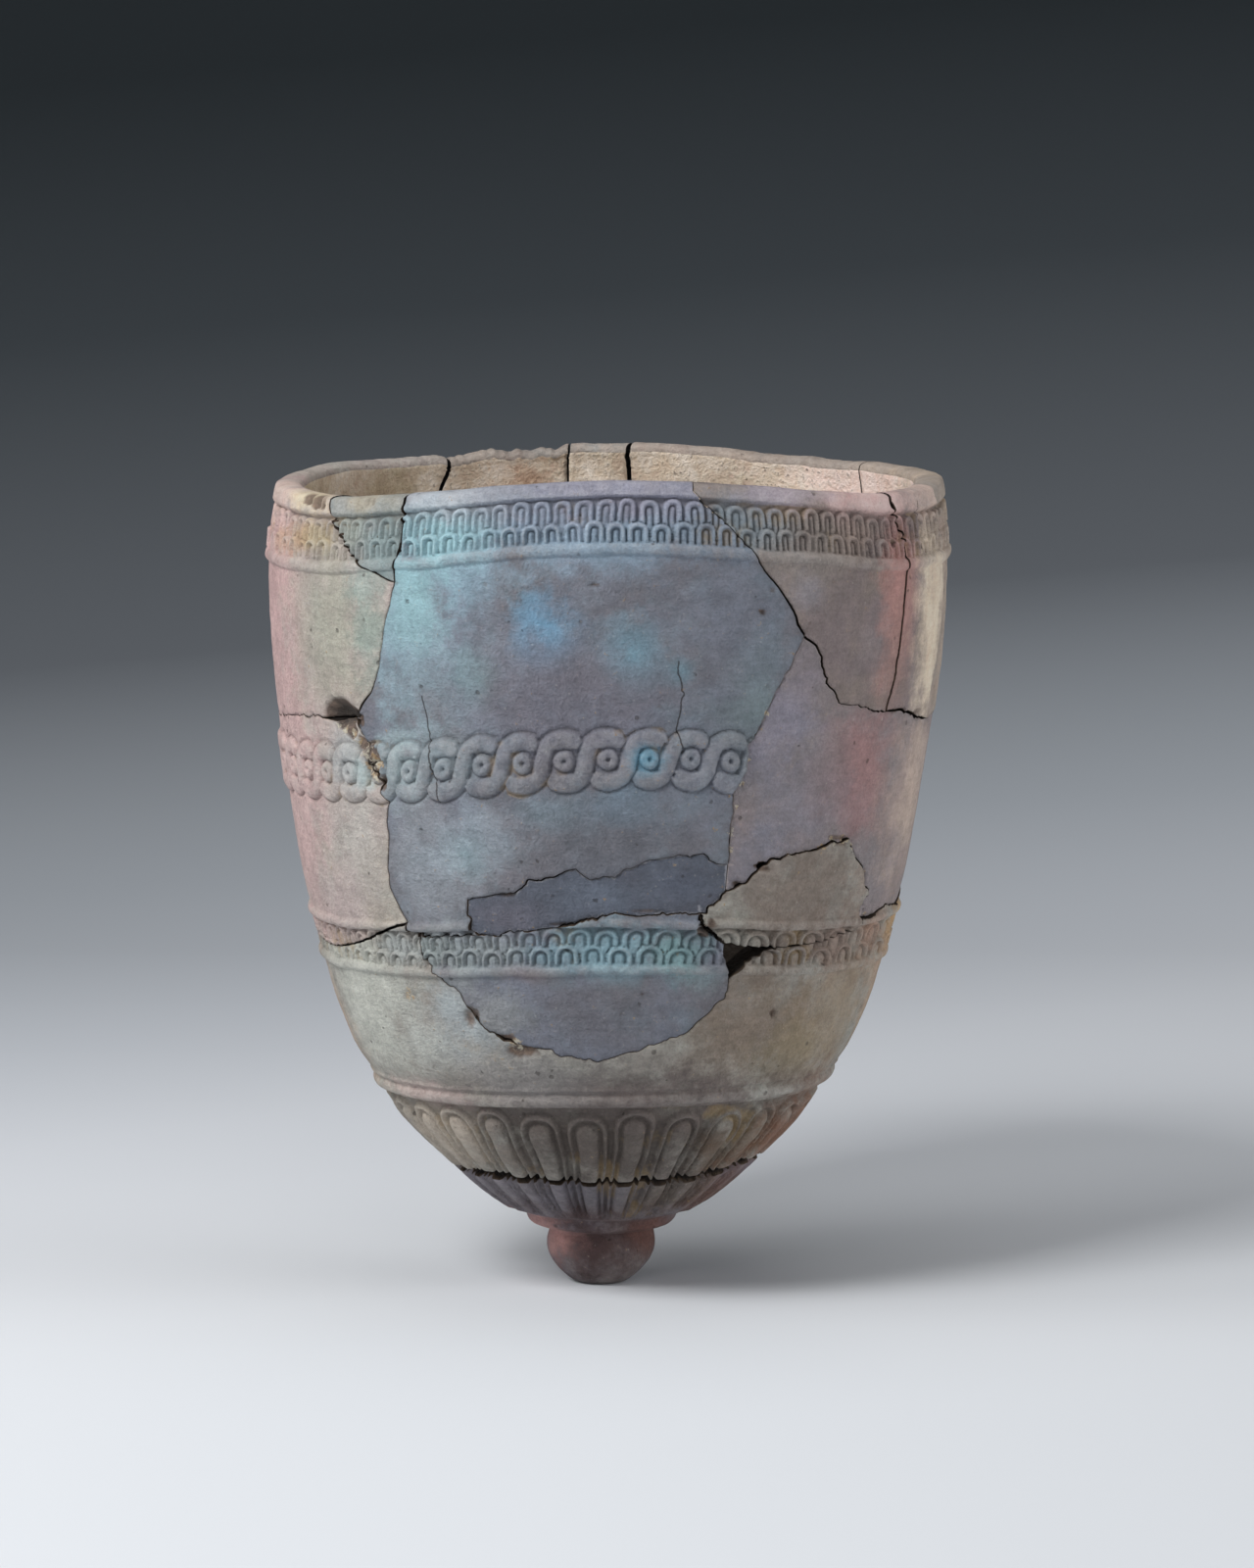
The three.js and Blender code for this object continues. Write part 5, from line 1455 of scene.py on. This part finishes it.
finishes = {
    "front_sherd": worn_frit("weathered_blue_frit", "#6f727c", "#6b696e", "#75838c", FRONT_STAINS),
    "rim_wedge_sherd": worn_frit("weathered_green_frit", "#868987", "#908f89", "#7f9193", WEDGE_STAINS),
    "left_sherds": worn_frit("weathered_rose_frit", "#a89c96", "#a2998f", "#9fa198", LEFT_STAINS),
    "right_sherds": worn_frit("weathered_dusk_frit", "#7b6f6f", "#82766f", "#877f7e", RIGHT_STAINS),
    "back_sherds": worn_frit("weathered_sand_frit", "#a3958a", "#8f857d", "#a08a80", BACK_STAINS),
    "lower_sherds": worn_frit("weathered_green_sand_frit", "#928f87", "#868079", "#969990", LOWER_STAINS_AND_SHADE),
    "base_sherd": worn_frit("weathered_lilac_frit", "#7b757c", "#706968", "#7f7470", BASE_STAINS_AND_SHADE),
    "front_fill": worn_frit("slate_tinted_plaster", "#53545d", "#555963", "#626975", FRONT_FILL_STAINS,
                            groove_dirt_and_shade="#3a3b42", bruise="#a9a8ac", bruising=0.6),
    "right_fill": worn_frit("lilac_tinted_plaster", "#7f7879", "#857978", "#8c8384", FILL_STAINS,
                            groove_dirt_and_shade="#4a4444", bruise="#b3a7a2", bruising=0.5),
}
slot_of = {row["node"]: row["material_slot"] for row in frame["record"]["subparts"]}

pieces = {}
for name, blank in blanks.items():
    pieces[name] = carved_piece(name, blank, finishes[slot_of[name]])
    pieces[name].data.calc_loop_triangles()
    print(name, "triangles:", len(pieces[name].data.loop_triangles))
print("triangles in all:", sum(len(piece.data.loop_triangles) for piece in pieces.values()))

# %% [markdown]
# ## Onto the frame
# Each sherd replaces its CAD node and rides on the one body of the part.

# %% Frame calls
for name, piece in pieces.items():
    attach(piece, "root")
    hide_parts(name)

# %% [markdown]
# ## Floor, backdrop and light
# The photograph has a pale sweep that darkens upwards. The sweep is one mesh that curves up behind
# the beaker, and its colour runs with its own height and depth, so the light needn't draw the
# gradient.

# %% Sweep
def sweep(width=7.0, front=-3.0, bend_starts=0.55, bend_radius=0.7, top=3.2, steps=24):
    """A floor that bends up into a backdrop, in metres."""
    rows = [(front, 0.0), (bend_starts, 0.0)]
    for i in range(1, steps + 1):
        turn = math.pi / 2 * i / steps
        rows.append((bend_starts + bend_radius * math.sin(turn), bend_radius * (1 - math.cos(turn))))
    rows.append((bend_starts + bend_radius, top))
    vertices = [(x, y, z) for y, z in rows for x in (-width / 2, width / 2)]
    faces = [(2 * i, 2 * i + 1, 2 * i + 3, 2 * i + 2) for i in range(len(rows) - 1)]
    mesh = bpy.data.meshes.new("sweep")
    mesh.from_pydata(vertices, [], faces)
    mesh.polygons.foreach_set("use_smooth", [True] * len(faces))
    piece = bpy.data.objects.new("sweep", mesh)
    bpy.context.scene.collection.objects.link(piece)
    return piece


SWEEP_COLOURS = [
    (0.0, "#dde0e4"), (0.05, "#e3e6ea"), (0.081, "#dfe2e7"), (0.103, "#ced2d8"), (0.143, "#aeb3b9"),
    (0.223, "#696d72"), (0.349, "#404549"), (0.453, "#2a2f32"), (1.0, "#1c2023"),
]
floor = sweep()
paper = bpy.data.materials.new("painted_paper_sweep")
paper.use_nodes = True
paper.node_tree.nodes.clear()
paint = partial(add, paper.node_tree)
spread = paint("SeparateXYZ", paint("TexCoord").outputs["Object"]).outputs
# Painted shade: the sweep's colour darkens upwards and towards the back, and is painted a little lighter
# to the right.
climb = paint("+", spread["Z"], paint("*", spread["Y"], 0.12))
climb = paint("-", climb, paint("*", spread["X"], 0.1))
shade = paint("ValToRGB", paint("MapRange", climb, -0.05, 1.0),
              ramp=[(share, linear(code)) for share, code in SWEEP_COLOURS])
paint("OutputMaterial", paint("BsdfPrincipled", {
    "Base Color": shade.outputs["Color"], "Roughness": 0.9, "Specular IOR Level": 0.1}))
floor.data.materials.append(paper)

# %% [markdown]
# A soft key lamp stands high on the left in front, so the beaker's shadow falls back to the right.
# A broad one overhead lights the mouth and the floor and leaves the underside of the bowl dim. Lamps
# at the sides brighten the edges, the left one high, the right one low so that it throws no shadow
# to the left, and a weak one in front opens the shadows. The lens and the camera's place were worked
# out from the photograph's frame.

# %% Light and camera
LENS, SENSOR = 142.8, 36
CAMERA_PLACE, CAMERA_TILT = (0.006118, -1.387, 0.266), 0.109936


def lamp(name, place, aim, side, power, colour="#ffffff"):
    light = bpy.data.lights.new(name, "AREA")
    light.shape = "RECTANGLE"
    light.size, light.size_y = side
    light.energy = power
    light.color = linear(colour)[:3]
    holder = bpy.data.objects.new(name, light)
    holder.location = place
    holder.rotation_euler = (Vector(aim) - Vector(place)).to_track_quat("-Z", "Y").to_euler()
    bpy.context.scene.collection.objects.link(holder)


lamp("key_softbox", (-0.65, -0.8, 1.05), (0, 0, 0.1), (0.45, 0.45), 12.5)
lamp("overhead_softbox", (0.1, 0.05, 1.5), (0, 0, 0.1), (1.0, 1.0), 3)
lamp("left_softbox", (-1.1, -0.3, 0.75), (0, 0, 0.1), (0.5, 0.7), 4.5)
lamp("right_softbox", (1.15, -0.2, 0.22), (0, 0, 0.1), (0.5, 0.5), 5)
lamp("front_softbox", (-0.1, -1.6, 0.9), (0, 0, 0.1), (1.0, 0.6), 2)
world = bpy.data.worlds.new("studio")
world.use_nodes = True
bpy.context.scene.world = world
sky = world.node_tree.nodes["Background"].inputs
sky["Color"].default_value = linear("#c8ccd2")
sky["Strength"].default_value = 0.38

camera_data = bpy.data.cameras.new("camera")
camera_data.sensor_width, camera_data.lens = SENSOR, LENS
camera_data.clip_start, camera_data.clip_end = 0.05, 20
camera = bpy.data.objects.new("camera", camera_data)
camera.location = CAMERA_PLACE
camera.rotation_euler = (math.pi / 2 - CAMERA_TILT, 0, 0)
bpy.context.scene.collection.objects.link(camera)
bpy.context.scene.camera = camera
bpy.context.scene.view_settings.view_transform = "Standard"
